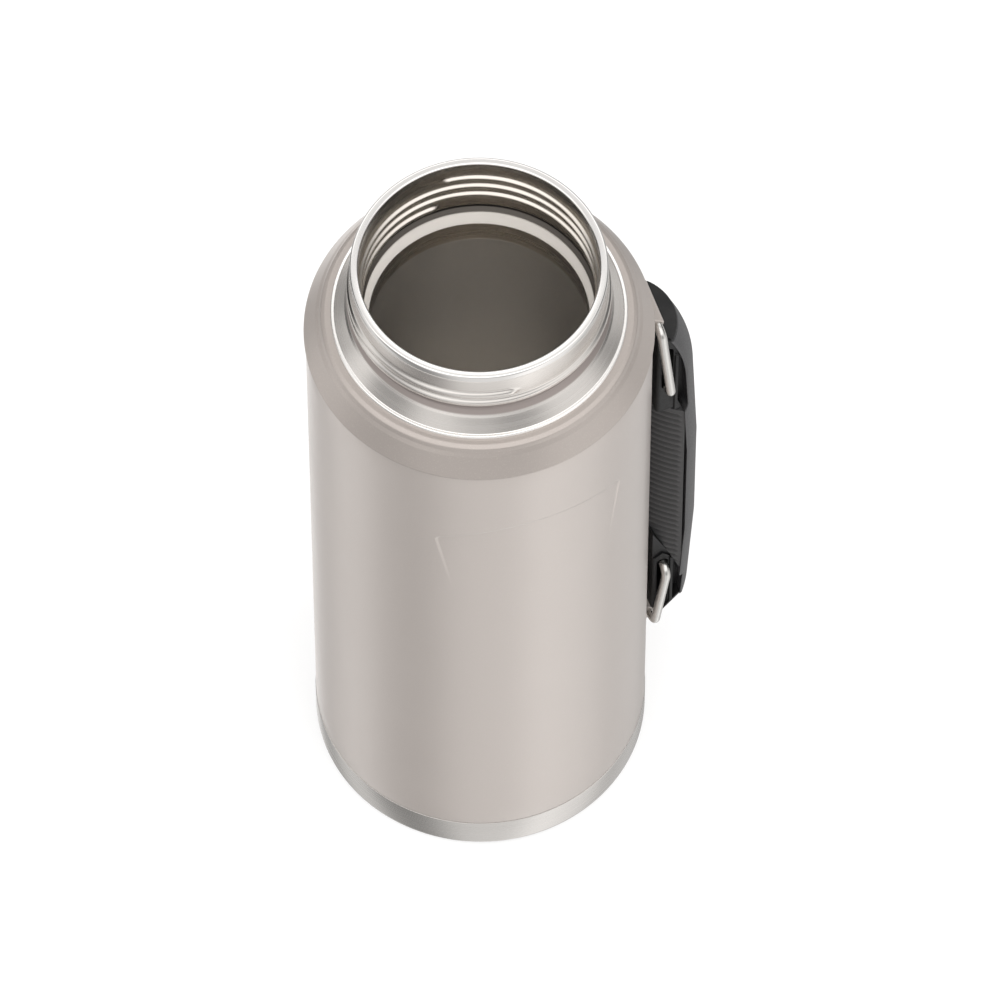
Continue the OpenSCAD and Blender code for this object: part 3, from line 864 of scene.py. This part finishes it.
@dataclass
class JarBody:
    """The double-walled body: wall, front panel, shoulder, neck, vessel and base."""

    finishes: Finishes
    body_r: float = BODY_R
    wall_t: float = 0.6
    wall_top: float = 231.6
    shoulder_r: float = 53.55
    shoulder_top: float = 241.8
    ledge_r: float = 45.3
    neck_r: float = 39.3
    neck_top: float = 265.6
    mouth_r: float = 36.5
    throat_r: float = 33.7
    vessel_r: float = 46.5
    lip_r: float = 1.35
    jar_h: float = 268.0
    base_h: float = 13.2
    base_r: float = 53.15
    panel_w: float = 63.0
    panel_h: float = 36.0
    panel_top: float = 201.4
    panel_arch: float = 8.2
    panel_lean: float = 5.5
    panel_depth: float = 0.45
    outer_thread: Thread = Thread(neck_r, 1.0, 3.6, 4.3, 1.75, -92.0, 258.5)
    inner_thread: Thread = Thread(mouth_r, 1.1, 2.6, 4.6, 3.0, 89.3, 260.9)

    def build(self) -> None:
        """Builds and dresses each piece of the body."""
        self.wall()
        self.shoulder()
        self.neck()
        self.vessel()
        self.base()

    def wall(self) -> None:
        """The painted wall, necked in at its foot and fine enough in front for the panel."""
        foot_r, t, fine = 52.45, self.wall_t, 0.4
        low = self.panel_top - self.panel_h
        heights = [23.0 + 10 * k for k in range(14)]
        heights += [low + fine * k for k in range(int(self.panel_h / fine) + 4)] + [212.0, 222.0]
        outline = rounded([
            (foot_r, 3.2, 0), (foot_r, self.base_h, 0.1), (self.body_r, self.base_h + 0.12, 0.3),
            *((self.body_r, z, 0) for z in heights),
            (self.body_r, self.wall_top - 0.02, 0.15), (self.body_r - t, self.wall_top - 0.02, 0),
            (self.body_r - t, self.base_h + 1, 0), (foot_r - t, self.base_h + 0.2, 0),
            (foot_r - t, 3.2, 0),
        ])
        wall = turned("outer_wall_skin", outline, ((48, 32), (84, 300), (228, 152)))
        for vertex in wall.data.vertices:
            x, y, z = vertex.co / MM
            r = math.hypot(x, y)
            if y < 0 and z > low and abs(r - self.body_r) < 0.01:
                move_out(vertex, -self.pressed(x, z) / r)
        finish_piece(wall, self.finishes.wall, Body.JAR, "body_paint", "outer_wall")

    def pressed(self, x: float, z: float) -> float:
        """Depth of the shallow front panel at a point, in millimetres.

        Args:
            x: Distance across from the panel's middle line.
            z: Height.

        Returns:
            The depth, which is greatest under the arched edge and runs out at the foot.
        """
        half, soft, corner = self.panel_w / 2, 0.7, 1.8
        arch_r = (half**2 + self.panel_arch**2) / (2 * self.panel_arch)
        below = self.panel_top - z
        under = arch_r - math.hypot(x, arch_r - below)
        beside = half - self.panel_lean * below / self.panel_h - abs(x)
        inside = min(under, beside)
        if max(under, beside) < corner:
            inside = corner - math.hypot(corner - under, corner - beside)
        t = min(1.0, max(0.0, inside / soft))
        return self.panel_depth * (1 - below / self.panel_h) * t * t * (3 - 2 * t)

    def shoulder(self) -> None:
        """The painted sloping ring on top of the wall."""
        t, top = 0.8, self.shoulder_top
        flat_r = self.ledge_r + 2.6
        outline = rounded([
            (self.body_r - self.wall_t, self.wall_top, 0), (self.shoulder_r, self.wall_top, 0.2),
            (self.shoulder_r, self.wall_top + 0.5, 0.5), (flat_r + 2.0, top - 3.1, 1.6),
            (flat_r + 1.0, top - 1.9, 1.0), (flat_r + 0.4, top - 0.6, 1.0),
            (flat_r - 0.9, top + 0.02, 1.2), (self.ledge_r + 0.02, top + 0.1, 0),
            (self.ledge_r - 1.2, top + 0.1, 0),
            (self.ledge_r - 1.2, top - t - 0.5, 0), (flat_r - 0.3, top - t - 0.9, 0.3),
            (self.body_r - self.wall_t, self.wall_top + 0.5, 0),
        ], pieces=8)
        ring = turned("shoulder_ring", outline)
        finish_piece(ring, self.finishes.shoulder, Body.JAR, "body_paint", "shoulder", crease=60)

    def neck(self) -> None:
        """The bare steel neck: ledge, groove, plain band and outside thread."""
        t, z, r = 0.8, self.shoulder_top, self.ledge_r
        inner, groove = self.neck_r - t, self.jar_h - 19
        outline = rounded([
            (self.neck_r, self.neck_top, 0.15), (self.neck_r, groove + 3.2, 0.5),
            (self.neck_r - 0.45, groove + 2.4, 0.5), (self.neck_r - 0.45, groove + 0.6, 1.2),
            (self.neck_r + 1.7, z + 5.6, 2.0), (r - 1.15, z + 1.4, 0.35),
            (r - 0.25, z + 1.35, 0.4), (r, z + 0.8, 0.4),
            (r, z - 1, 0), (r - t, z - 1, 0), (r - t, z + 0.5, 0),
            (self.neck_r + 1.2, z + 4.7, 0.5), (inner, groove - 1.4, 0.5),
            (inner, self.neck_top, 0),
        ], pieces=6)
        ring = turned("neck_shell", divided(outline, 249.2, 263, 0.22))
        self.outer_thread.roll(ring, outward=True)
        finish_piece(ring, self.finishes.neck, Body.JAR, "bare_steel", "neck_ring", crease=60)

    def vessel(self) -> None:
        """The vessel with its rolled lip, inside thread, seal seat and throat."""
        t, mouth, throat, r = 0.5, self.mouth_r, self.throat_r, self.vessel_r
        centre, round_r = mouth + self.lip_r, 0.85
        seat_z, seat_low, throat_low, wide_z = 242.9, 238.1, 229.1, 217.1
        lip = [(centre + self.lip_r, self.jar_h, round_r), (mouth, self.jar_h - 0.14, round_r)]
        outline = rounded([
            (mouth, 244.0, 0.4), (throat + 1.5, seat_z, 0.4), (throat, seat_low, 0.8),
            (throat, throat_low, 1.5), (r, wide_z, 6.0), (r, 18.0, 0), (r + t, 18.0, 0),
            (r + t, wide_z + 0.3, 6.0), (throat + t, throat_low, 1.5),
            (throat + t, seat_low - 0.1, 0.8), (throat + 1.5 + t, seat_z - 0.3, 0.4),
            (mouth + t, 243.7, 0.4), (mouth + t, self.neck_top + 0.05, 0),
            (centre + self.lip_r, self.neck_top + 0.05, 0), *lip,
        ], pieces=6)
        vessel = turned("vessel_shell", divided(divided(outline, 244.5, 265, 0.22), 20, 210, 9))
        self.inner_thread.roll(vessel, outward=False)
        finish_piece(vessel, self.finishes.liner, Body.JAR, "bare_steel", "inner_liner",
                     crease=60)

    def base(self) -> None:
        """The bare steel cup round the foot, with a shallow ring pressed into its bottom."""
        r, t, h, rise = self.base_r, 0.6, self.base_h, 1.2
        ring_in, ring_out = 24.0, 45.0
        outline = rounded([
            (0, 0, 0), (ring_in, 0, 0.4), (ring_in + 1, rise, 0.4), (ring_out - 1, rise, 0.4),
            (ring_out, 0, 0.4), (r, 0, 1.9), (r, h, 0.2), (r - t, h, 0.1), (r - t, t, 1.4),
            (ring_out + 0.4, t, 0.3), (ring_out - 0.6, rise + t, 0.3),
            (ring_in + 0.6, rise + t, 0.3), (ring_in - 0.4, t, 0.3), (0, t, 0),
        ], pieces=6)
        cup = turned("base_shell", outline)
        finish_piece(cup, self.finishes.base, Body.JAR, "bare_steel", "base_cup", crease=50)


# ---------------------------------------------------------------- brackets and bails


@dataclass
class Bracket:
    """A painted lug on the wall, bored for the ends of a bail."""

    finishes: Finishes
    name: str
    node: str
    pivot_z: float
    pivot_x: float = PIVOT_X
    radius: float = 2.2
    bore_r: float = 1.56
    foot: float = 5.0
    width: float = 16.0
    body_r: float = BODY_R

    def build(self) -> None:
        """Models the lug from its side outline, rounds its edges and bores it."""
        dx = self.body_r - 0.5 - self.pivot_x
        turn = math.atan2(self.foot, dx) - math.acos(self.radius / math.hypot(dx, self.foot))
        nose = [(self.pivot_x + self.radius * math.cos(turn * (1 - k / 8)),
                 self.pivot_z + self.radius * math.sin(turn * (1 - k / 8))) for k in range(17)]
        foot_x, half = self.pivot_x + dx, self.width / 2
        lug = prism(self.name, [(foot_x, self.pivot_z + self.foot), *nose,
                                (foot_x, self.pivot_z - self.foot)], -half, half)
        bevelled(lug, 0.45, angle=50)
        cut(lug, rod("wall_tool", (0, 0, self.pivot_z), "Z", self.body_r + 0.02, 30, sides=256),
            rod("bore_tool", (self.pivot_x, 0, self.pivot_z), "Y", self.bore_r, self.width + 4))
        finish_piece(lug, self.finishes.bracket, Body.JAR, "body_paint", self.node)


@dataclass
class WireBail:
    """A bail bent from round wire: two ends, two legs and a bar."""

    finishes: Finishes
    name: str
    body: Body
    pivot_z: float
    way: int
    pivot_x: float = PIVOT_X
    out: float = 2.8
    drop: float = 34.0
    wire_r: float = 1.5
    bend_r: float = 3.0
    bar_half: float = 14.2
    splay: float = 2.4
    end_at: float = 2.5

    def build(self) -> None:
        """Pushes a ring of points along half of the wire's path and mirrors the result."""
        length = math.hypot(self.out, self.drop)
        lean = math.atan2(self.splay, length)
        pivot_half = self.bar_half - self.splay
        turn_a, turn_b = math.pi / 2 - lean, math.pi / 2 + lean
        cut_a, cut_b = (self.bend_r * math.tan(a / 2) for a in (turn_a, turn_b))
        leg = math.hypot(self.splay, length) - cut_a - cut_b
        bpy.ops.object.select_all(action="DESELECT")
        bpy.ops.mesh.primitive_circle_add(
            vertices=32, radius=self.wire_r * MM, fill_type="NGON",
            location=(self.end_at * MM, 0, 0), rotation=(0, math.pi / 2, 0))
        wire = bpy.context.active_object
        wire.name = self.name
        bpy.ops.object.transform_apply(location=True, rotation=True)
        ahead = Vector((math.sin(lean), math.cos(lean), 0))
        with editing(wire):
            self._push(Vector((pivot_half - cut_a - self.end_at, 0, 0)))
            self._bend(turn_a, Vector((pivot_half - cut_a, self.bend_r, 0)))
            self._push(ahead * leg)
            self._bend(turn_b, Vector((self.bar_half - cut_b, length - self.bend_r, 0)))
            self._push(Vector((-(self.bar_half - cut_b), 0, 0)))
            bpy.ops.mesh.delete(type="ONLY_FACE")
        applied(wire, "MIRROR", merge_threshold=WELD)
        close_up(wire)
        bevelled(wire, 0.3, angle=60)
        tilt = math.atan2(self.out, self.drop)
        wire.matrix_world = (Matrix.Translation(Vector((self.pivot_x, 0, self.pivot_z)) * MM)
                             @ Matrix.Rotation(-self.way * (math.pi / 2 + tilt), 4, "Y")
                             @ Matrix.Rotation(math.pi / 2, 4, "Z"))
        finish_piece(wire, self.finishes.wire, self.body, "wire_steel", self.body.value)

    @staticmethod
    def _push(way: Vector) -> None:
        """Extrudes the selected ring straight on, in millimetres."""
        bpy.ops.mesh.extrude_region_move(TRANSFORM_OT_translate={"value": way * MM})

    @staticmethod
    def _bend(angle: float, centre: Vector) -> None:
        """Spins the selected ring about a centre in the wire's plane."""
        bpy.ops.mesh.spin(steps=16, angle=-angle, center=centre * MM, axis=(0, 0, 1))


# ---------------------------------------------------------------- the handle


@dataclass
class HandleShape:
    """The handle's outlines, which its pieces share."""

    face_x: float = 54.6
    crown_x: float = 71.1
    crown_r: float = 16.1
    half_w: float = 13.0
    top_z: float = 210.0
    end_z: float = 41.8
    end_x: float = 57.6
    bow_z: float = 117.9
    bow_half: float = 24.0
    bow_tilt: float = math.radians(2.6)
    dome_r: float = 66.0
    dome_from: float = 185.5
    upper_bar_z: float = 181.5
    lower_bar_z: float = 71.5
    bar_x: float = 58.0
    grip_top: float = 166.0
    grip_low_in: float = 90.0
    grip_low_out: float = 65.0
    cover_t: float = 5.33
    core_t: float = 6.7

    def back(self, z: float) -> float:
        """How far out the back's middle line is at a height.

        Args:
            z: The height.

        Returns:
            The distance from the jar's axis.
        """
        lean = max(0.0, abs(min(z, self.dome_from) - self.bow_z) - self.bow_half)
        x = self.crown_x - lean * math.tan(self.bow_tilt)
        if z < self.dome_from:
            return x
        cx = x - self.dome_r * math.cos(self.bow_tilt)
        cz = self.dome_from - self.dome_r * math.sin(self.bow_tilt)
        return cx + math.sqrt(self.dome_r**2 - (z - cz) ** 2)

    def surface(self, s: float, z: float) -> float:
        """How far out the crowned back is beside its middle line."""
        return self.back(z) - self.crown_r + math.sqrt(self.crown_r**2 - s * s)


@dataclass
class Handle:
    """The handle: black frame, grey crowned cover, ribbed grip and two screws."""

    finishes: Finishes
    shape: HandleShape = field(default_factory=HandleShape)
    slot_r: float = 1.9
    screw_heights: tuple[float, float] = (173.0, 79.5)
    rib_pitch: float = 3.1
    rib_depth: float = 0.55

    def build(self) -> None:
        """Builds and dresses each piece of the handle."""
        self.frame()
        self.cover()
        self.grip()
        self.screws()

    def half_width(self, z: float) -> float:
        """Half of the cover's width at a height, which narrows above and below the grip.

        Args:
            z: The height.

        Returns:
            The half width.
        """
        stops = ((41.0, 11.2), (63.0, 11.66), (64.5, 12.95), (167.0, 12.95), (168.5, 11.66),
                 (190.0, 11.2), (211.0, 11.2))
        for (z0, w0), (z1, w1) in zip(stops, stops[1:]):
            if z <= z1:
                return w0 + (w1 - w0) * max(0.0, (z - z0) / (z1 - z0))
        return stops[-1][1]

    def seam(self, z: float) -> float:
        """How far out the seam between cover and frame is at a height."""
        return self.shape.back(z) - self.shape.cover_t

    def foot(self, x: float) -> float:
        """Height of the slanted bottom edge at a distance out."""
        return self.shape.end_z + (x - self.shape.end_x) * 1.279

    def frame(self) -> None:
        """The black frame: two ends with long slots, a core and a top plate."""
        s = self.shape
        plate_z, rib_x, side = s.top_z - 1.6, 60.25, 10.2
        low_x = self.seam(50)
        low, high = self.foot(low_x), plate_z + 0.8
        heights = [low + (high - low) * k / 60 for k in range(61)]
        line = [(self.seam(z), z) for z in heights]
        frame = prism("frame_shell", [
            (s.face_x, s.end_z + 1.4), (s.end_x, s.end_z), *line, (s.face_x, high)], -11.1, 11.1)
        top = max(z for x, z in line if x > rib_x + 1.2)
        lip_x, lip = 57.9, 1.2
        narrow = [(50, 30), (lip_x, 30), (lip_x, self.foot(lip_x) + lip),
                  (rib_x, self.foot(rib_x) + lip), (rib_x, top), (80, top), (80, 215), (50, 215)]
        cut(frame, prism("side_tool", narrow, side, REACH),
            prism("side_tool", narrow, -REACH, -side))
        round_edges(frame, 1.3, lambda p: abs(p.x - s.face_x) < 0.1 and abs(p.y) > side - 0.1)
        bevelled(frame, 0.3, segments=2, angle=50)
        core = prism("frame_core", [
            (58.2, 63), *((s.back(z) - s.core_t, z) for z in (63.0, 93.9, 141.9, 170.0)),
            (58.2, 170)], -6, 6)
        cut(frame, prism("grip_tool", [
            (50, s.grip_top), (78, s.grip_top + 2.7), (78, s.grip_low_out - 4),
            (64.5, s.grip_low_out), (s.face_x, s.grip_low_in), (50, s.grip_low_in + 6)],
            -REACH, REACH))
        cut(frame, core, self.top_plate(plate_z), how="UNION")
        cut(frame, self.slot_tool(s.upper_bar_z, s.upper_bar_z + 19.5),
            self.slot_tool(s.lower_bar_z - 23.9, s.lower_bar_z))
        upper = [(61.2, 172), (61.2, 199), (66, 190), (66, 166.5), (62.9, 166.5)]
        lower = [(61.2, 67.5), (66, 67.5), (66, self.foot(66) + 1.4), (61.2, self.foot(61.2) + 1.4)]
        roof = [(54, 74), (58, 77), (61.2, 73.5), (61.2, 60), (67, 60), (64.5, 68), (54, 94)]
        for way in (1, -1):
            for outline, depth in ((upper, 7.5), (lower, 7.5), (roof, side - 0.7)):
                cut(frame, prism("pocket_tool", outline, *sorted((way * depth, way * REACH))))
        for z in self.screw_heights:
            cut(frame, rod("sink_tool", (s.face_x + 1.05, 0, z), "X", 3.0, 3.1))
        close_up(frame)
        finish_piece(frame, self.finishes.frame, Body.HANDLE, "frame_black", "handle_frame")

    def top_plate(self, low: float) -> bpy.types.Object:
        """The plate that closes the handle's top, with the crown's rounded outline.

        Args:
            low: The height of its underside.

        Returns:
            The plate.
        """
        s, half, step_x, lip = self.shape, 11.2, 58.0, 0.2
        across = [half * (2 * k / 24 - 1) for k in range(25)]
        outline = [(s.face_x - lip, -10.2 - lip), (step_x, -10.2 - lip), (step_x + 0.4, -half),
                   *((s.surface(y, s.top_z - 0.8), y) for y in across),
                   (step_x + 0.4, half), (step_x, 10.2 + lip), (s.face_x - lip, 10.2 + lip)]
        plate = wire_outline("frame_plate", [(x, y, low) for x, y in outline])
        raised(plate, (0, 0, s.top_z - low))
        close_up(plate)
        bevelled(plate, 0.3, segments=2, angle=50)
        return plate

    def slot_tool(self, low: float, high: float) -> bpy.types.Object:
        """A tool body for a long round-ended slot through the handle, along Y.

        Args:
            low: The height of its lower round end.
            high: The height of its upper round end.

        Returns:
            The tool body.
        """
        x, r = self.shape.bar_x, self.slot_r
        turn = [math.pi * k / 20 for k in range(21)]
        outline = [(x + r * math.cos(a), high + r * math.sin(a)) for a in turn]
        outline += [(x - r * math.cos(a), low - r * math.sin(a)) for a in turn]
        return prism("slot_tool", outline, -REACH, REACH)

    def screws(self) -> None:
        """The two socket screws that hold the cover to the frame."""
        x = self.shape.face_x
        for number, z in enumerate(self.screw_heights):
            head = rod(f"screw_{number}", (x + 1.6, 0, z), "X", 2.8, 2.0)
            cut(head, rod("shank", (x + 8.5, 0, z), "X", 1.5, 12.2), how="UNION")
            cut(head, rod("socket_tool", (x + 0.6, 0, z), "X", 1.1, 2.6, sides=6))
            bevelled(head, 0.2, segments=2)
            finish_piece(head, self.finishes.screw, Body.HANDLE, "wire_steel", "handle_screws")

    def cover(self) -> None:
        """The crowned cover, pushed up row by row along the back."""
        s = self.shape
        low, high, rows, across = s.end_z, s.top_z - 1.65, 240, 40
        section = [2 * k / across - 1 for k in range(across + 1)] + [1, -1]
        cover = wire_outline("cover_shell", [
            (s.surface(s.half_w * y, 100) + 1 if k <= across else 60, y, low)
            for k, y in enumerate(section)])
        raised(cover, (0, 0, (high - low) / rows), rows)
        for i, vertex in enumerate(cover.data.vertices):
            place, share = i % len(section), (vertex.co.z / MM - low) / (high - low)
            x, z = s.end_x, low
            for _ in range(5):
                foot = self.foot(x)
                z = foot + (high - foot) * share
                y = self.half_width(z) * section[place]
                x = s.surface(y, z)
                if place > across:
                    by_grip = s.grip_low_out - 1 < z < s.grip_top + 1
                    deep = s.core_t if by_grip else s.cover_t
                    x = s.back(z) - max(deep, s.back(z) - x + 0.4)
            vertex.co = Vector((x, y, z)) * MM
        close_up(cover)
        bevelled(cover, 0.25, angle=50)
        finish_piece(cover, self.finishes.cover, Body.HANDLE, "cover_grey", "handle_cover")

    def grip_section(self, inset: float) -> Outline:
        """The grip's flared section, as x and y from one side of the back to the other.

        Args:
            inset: How far the flanks and the finger side are set in.

        Returns:
            The points of a closed outline.
        """
        s = self.shape
        flare_r, flare = 32.0, math.radians(27)
        edge_x = s.crown_x - (s.crown_r - math.sqrt(s.crown_r**2 - s.half_w**2))
        cx, cy = edge_x + flare_r * math.sin(flare), s.half_w - flare_r * math.cos(flare)
        r = flare_r - inset
        x0 = s.face_x + inset
        right = []
        for k in range(15):
            x = x0 + (edge_x - 1.1 - x0) * k / 14
            right.append((x, cy + math.sqrt(r * r - (cx - x) ** 2), 1.6 if k == 0 else 0))
        left = [(x, -y, c) for x, y, c in reversed(right)]
        return rounded([*right, *left], pieces=6)

    def grip(self) -> None:
        """The soft grip, with rounded ribs round its finger side."""
        s = self.shape
        low, high, step = s.grip_low_out - 4, s.grip_top - 0.1, self.rib_pitch / 10
        section, deep = self.grip_section(0.0), self.grip_section(self.rib_depth)
        grip = wire_outline("grip_sleeve", [(x, y, low) for x, y in section])
        raised(grip, (0, 0, step), int((high - low) / step))
        edge = s.crown_x - 8.8
        for i, vertex in enumerate(grip.data.vertices):
            z = vertex.co.z / MM
            phase = ((s.grip_top - 2.0 - z) / self.rib_pitch) % 1.0
            groove = max(0.0, math.cos(2 * math.pi * (phase - 0.5))) ** 0.7
            if not s.grip_low_out + 1 < z < s.grip_top - 1.4:
                groove = 0.0
            (x0, y0), (x1, y1) = section[i % len(section)], deep[i % len(section)]
            share = groove * min(1.0, max(0.0, (edge - x0) / 0.8))
            vertex.co.x, vertex.co.y = (x0 + (x1 - x0) * share) * MM, (y0 + (y1 - y0) * share) * MM
        close_up(grip)
        with editing(grip):
            bpy.ops.mesh.bisect(
                plane_co=(s.face_x * MM, 0, (s.grip_low_in + 0.1) * MM),
                plane_no=(-0.93, 0, -0.368), use_fill=True, clear_outer=True, threshold=1e-7)
        close_up(grip)
        finish_piece(grip, self.finishes.grip, Body.HANDLE, "grip_black", "handle_grip", crease=50)


# ---------------------------------------------------------------- carried-over pieces


@dataclass
class VacuumFittings:
    """The hidden CAD nodes that are kept: the vacuum space's fittings and the two bottoms."""

    finishes: Finishes

    def build(self) -> None:
        """Gives each node a better finish and leaves its shape alone."""
        for node, material in (
            ("liner_bottom", self.finishes.liner), ("outer_bottom", self.finishes.hidden),
            ("foil_wrap", self.finishes.foil), ("getter_cup", self.finishes.hidden),
            ("getter", self.finishes.getter), ("vacuum_seal", self.finishes.seal),
        ):
            for slot in frame["nodes"][node].material_slots:
                slot.material = material
            log.info("%s: kept, dressed in %s", node, material.name)


# ---------------------------------------------------------------- studio


@dataclass(frozen=True)
class Card:
    """A soft light card round the jar: its place and width in degrees, and its strength."""

    azimuth: float
    width: float
    strength: float


@dataclass
class Studio:
    """Floor, lights, world and camera."""

    azimuth: float = -19.8
    elevation: float = 59.81
    distance: float = 3310.565
    aim_x: float = 6.324
    aim_z: float = 128.009
    focal: float = 380.56
    floor_glow: float = 0.6
    overhead: float = 1.7
    behind: float = 0.9
    far_behind: float = 1.8
    low_base: float = 0.42
    high_base: float = 0.40
    low_cards: tuple[Card, ...] = (
        Card(62, 31, 0.65), Card(10, 43, 0.5), Card(-95, 20, 0.46), Card(-168, 24, 0.86),
        Card(124, 24, 0.31), Card(-40, 20, -0.12))
    high_cards: tuple[Card, ...] = (
        Card(-86, 12, 0.68), Card(-28, 17, 0.5), Card(62, 23, 0.52), Card(0, 12, 0.2),
        Card(-112, 20, -0.42), Card(116, 26, -0.3))

    def build(self) -> None:
        """Sets up the whole studio."""
        scene = bpy.context.scene
        scene.view_settings.view_transform = "Standard"
        self.camera()
        self.floor()
        self.world()
        self.lamps()

    def camera(self) -> None:
        """The camera, which looks steeply down from the front left."""
        bpy.ops.object.camera_add()
        camera = bpy.context.active_object
        lift = math.radians(self.elevation)
        spot = Vector((self.aim_x, -self.distance * math.cos(lift),
                       self.aim_z + self.distance * math.sin(lift))) * MM
        turn = Matrix.Rotation(math.radians(self.azimuth), 4, "Z")
        tilt = Matrix.Rotation(math.pi / 2 - lift, 4, "X")
        camera.matrix_world = turn @ Matrix.Translation(spot) @ tilt
        camera.data.lens = self.focal
        camera.data.sensor_width = 36
        bpy.context.scene.camera = camera

    def surround(self, t: Tree, x: object, y: object, cards: Sequence[Card],
                 base: float) -> object:
        """Brightness of the surround by direction, as seen in reflections.

        Args:
            t: The tree that the nodes go into.
            x: The direction's x in the row frame.
            y: Its y.
            cards: Soft light cards that stand round the jar.
            base: Brightness between the cards.

        Returns:
            The brightness.
        """
        round_deg = t.math("DEGREES", t.math("ARCTAN2", x, t.times(y, -1.0)))
        total = base
        for card in cards:
            off = t.add("Math", {"operation": "WRAP"}, i1=180.0, i2=-180.0,
                        i0=t.math("SUBTRACT", round_deg, card.azimuth + self.azimuth)).outputs[0]
            off = t.math("ABSOLUTE", t.math("DIVIDE", off, card.width))
            bell = t.math("EXPONENT", t.times(t.math("POWER", off, 4.0), -1.0))
            total = t.plus(total, t.times(bell, card.strength))
        return total

    def floor(self) -> None:
        """A plain white floor that keeps a soft shadow and stays out of reflections."""
        bpy.ops.mesh.primitive_plane_add(size=12)
        floor = bpy.context.active_object
        floor.name = "floor"
        material, t = blank("floor_white")
        matte = t.add("BsdfDiffuse", Color=(0.88, 0.88, 0.88, 1))
        glow = t.add("Emission", Color=(1, 1, 1, 1), Strength=1.0)
        share = t.times(t.add("LightPath").outputs["Is Camera Ray"], self.floor_glow)
        both = t.add("MixShader", i0=share, i1=matte.outputs[0], i2=glow.outputs[0])
        t.add("OutputMaterial", i0=both.outputs[0])
        floor.data.materials.append(material)
        floor.visible_glossy = False

    def world(self) -> None:
        """A dome, bright overhead, with soft cards round the jar.

        The camera sees it plain white. Its lower half stands in for the floor in reflections.
        """
        world = bpy.data.worlds.new("studio")
        bpy.context.scene.world = world
        world.use_nodes = True
        t = Tree(world.node_tree)
        x, y, z = t.split(t.add("TexCoord").outputs["Generated"])
        low = self.surround(t, x, y, self.low_cards, self.low_base)
        high = self.surround(t, x, y, self.high_cards, self.high_base)
        ring = t.mix(t.span(z, -0.12, 0.04), low, high)
        turn = math.radians(self.azimuth)
        depth = t.plus(t.times(x, -math.sin(turn)), t.times(y, math.cos(turn)))
        above = t.span(depth, -0.1, 0.45, self.overhead, self.behind)
        above = t.mix(t.span(depth, 0.52, 0.62), above, self.far_behind)
        strength = t.mix(t.span(z, 0.35, 0.75), ring, above)
        strength = t.mix(t.add("LightPath").outputs["Is Camera Ray"], strength, 1.0)
        t.fill(world.node_tree.nodes["Background"],
               {"Color": (1.0, 0.99, 0.98, 1), "Strength": strength})

    def lamps(self) -> None:
        """Large soft lamps that point at the jar, with places in the camera's turned frame."""
        turn = Matrix.Rotation(math.radians(self.azimuth), 4, "Z")
        for name, where, size, power in (
            ("key", (0.9, -1.5, 1.3), (1.0, 1.4), 6.0),
            ("left_edge", (-2.1, 0.5, 0.35), (1.0, 1.0), 26.0),
            ("right_edge", (1.7, 0.6, 0.8), (0.5, 1.4), 7.0),
            ("top", (0.1, -0.3, 1.9), (1.4, 1.4), 10.0),
        ):
            bpy.ops.object.light_add(type="AREA")
            lamp = bpy.context.active_object
            lamp.name = name
            spot = turn @ Vector(where)
            aim = (Vector((0, 0, 0.13)) - spot).to_track_quat("-Z", "Y").to_matrix().to_4x4()
            lamp.matrix_world = Matrix.Translation(spot) @ aim
            lamp.data.shape = "RECTANGLE"
            lamp.data.size, lamp.data.size_y = size
            lamp.data.energy = power
            lamp.visible_glossy = False


def main() -> None:
    """Builds the jar in order."""
    logging.basicConfig(level=logging.INFO, format="%(message)s")
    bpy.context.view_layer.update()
    finishes = Finishes()
    JarBody(finishes).build()
    Bracket(finishes, "upper_lug", "upper_bracket", UPPER_PIVOT_Z).build()
    Bracket(finishes, "lower_lug", "lower_bracket", LOWER_PIVOT_Z).build()
    WireBail(finishes, "upper_wire", Body.UPPER_BAIL, UPPER_PIVOT_Z, 1).build()
    WireBail(finishes, "lower_wire", Body.LOWER_BAIL, LOWER_PIVOT_Z, -1).build()
    Handle(finishes).build()
    VacuumFittings(finishes).build()
    Studio().build()


if __name__ == "__main__":
    main()
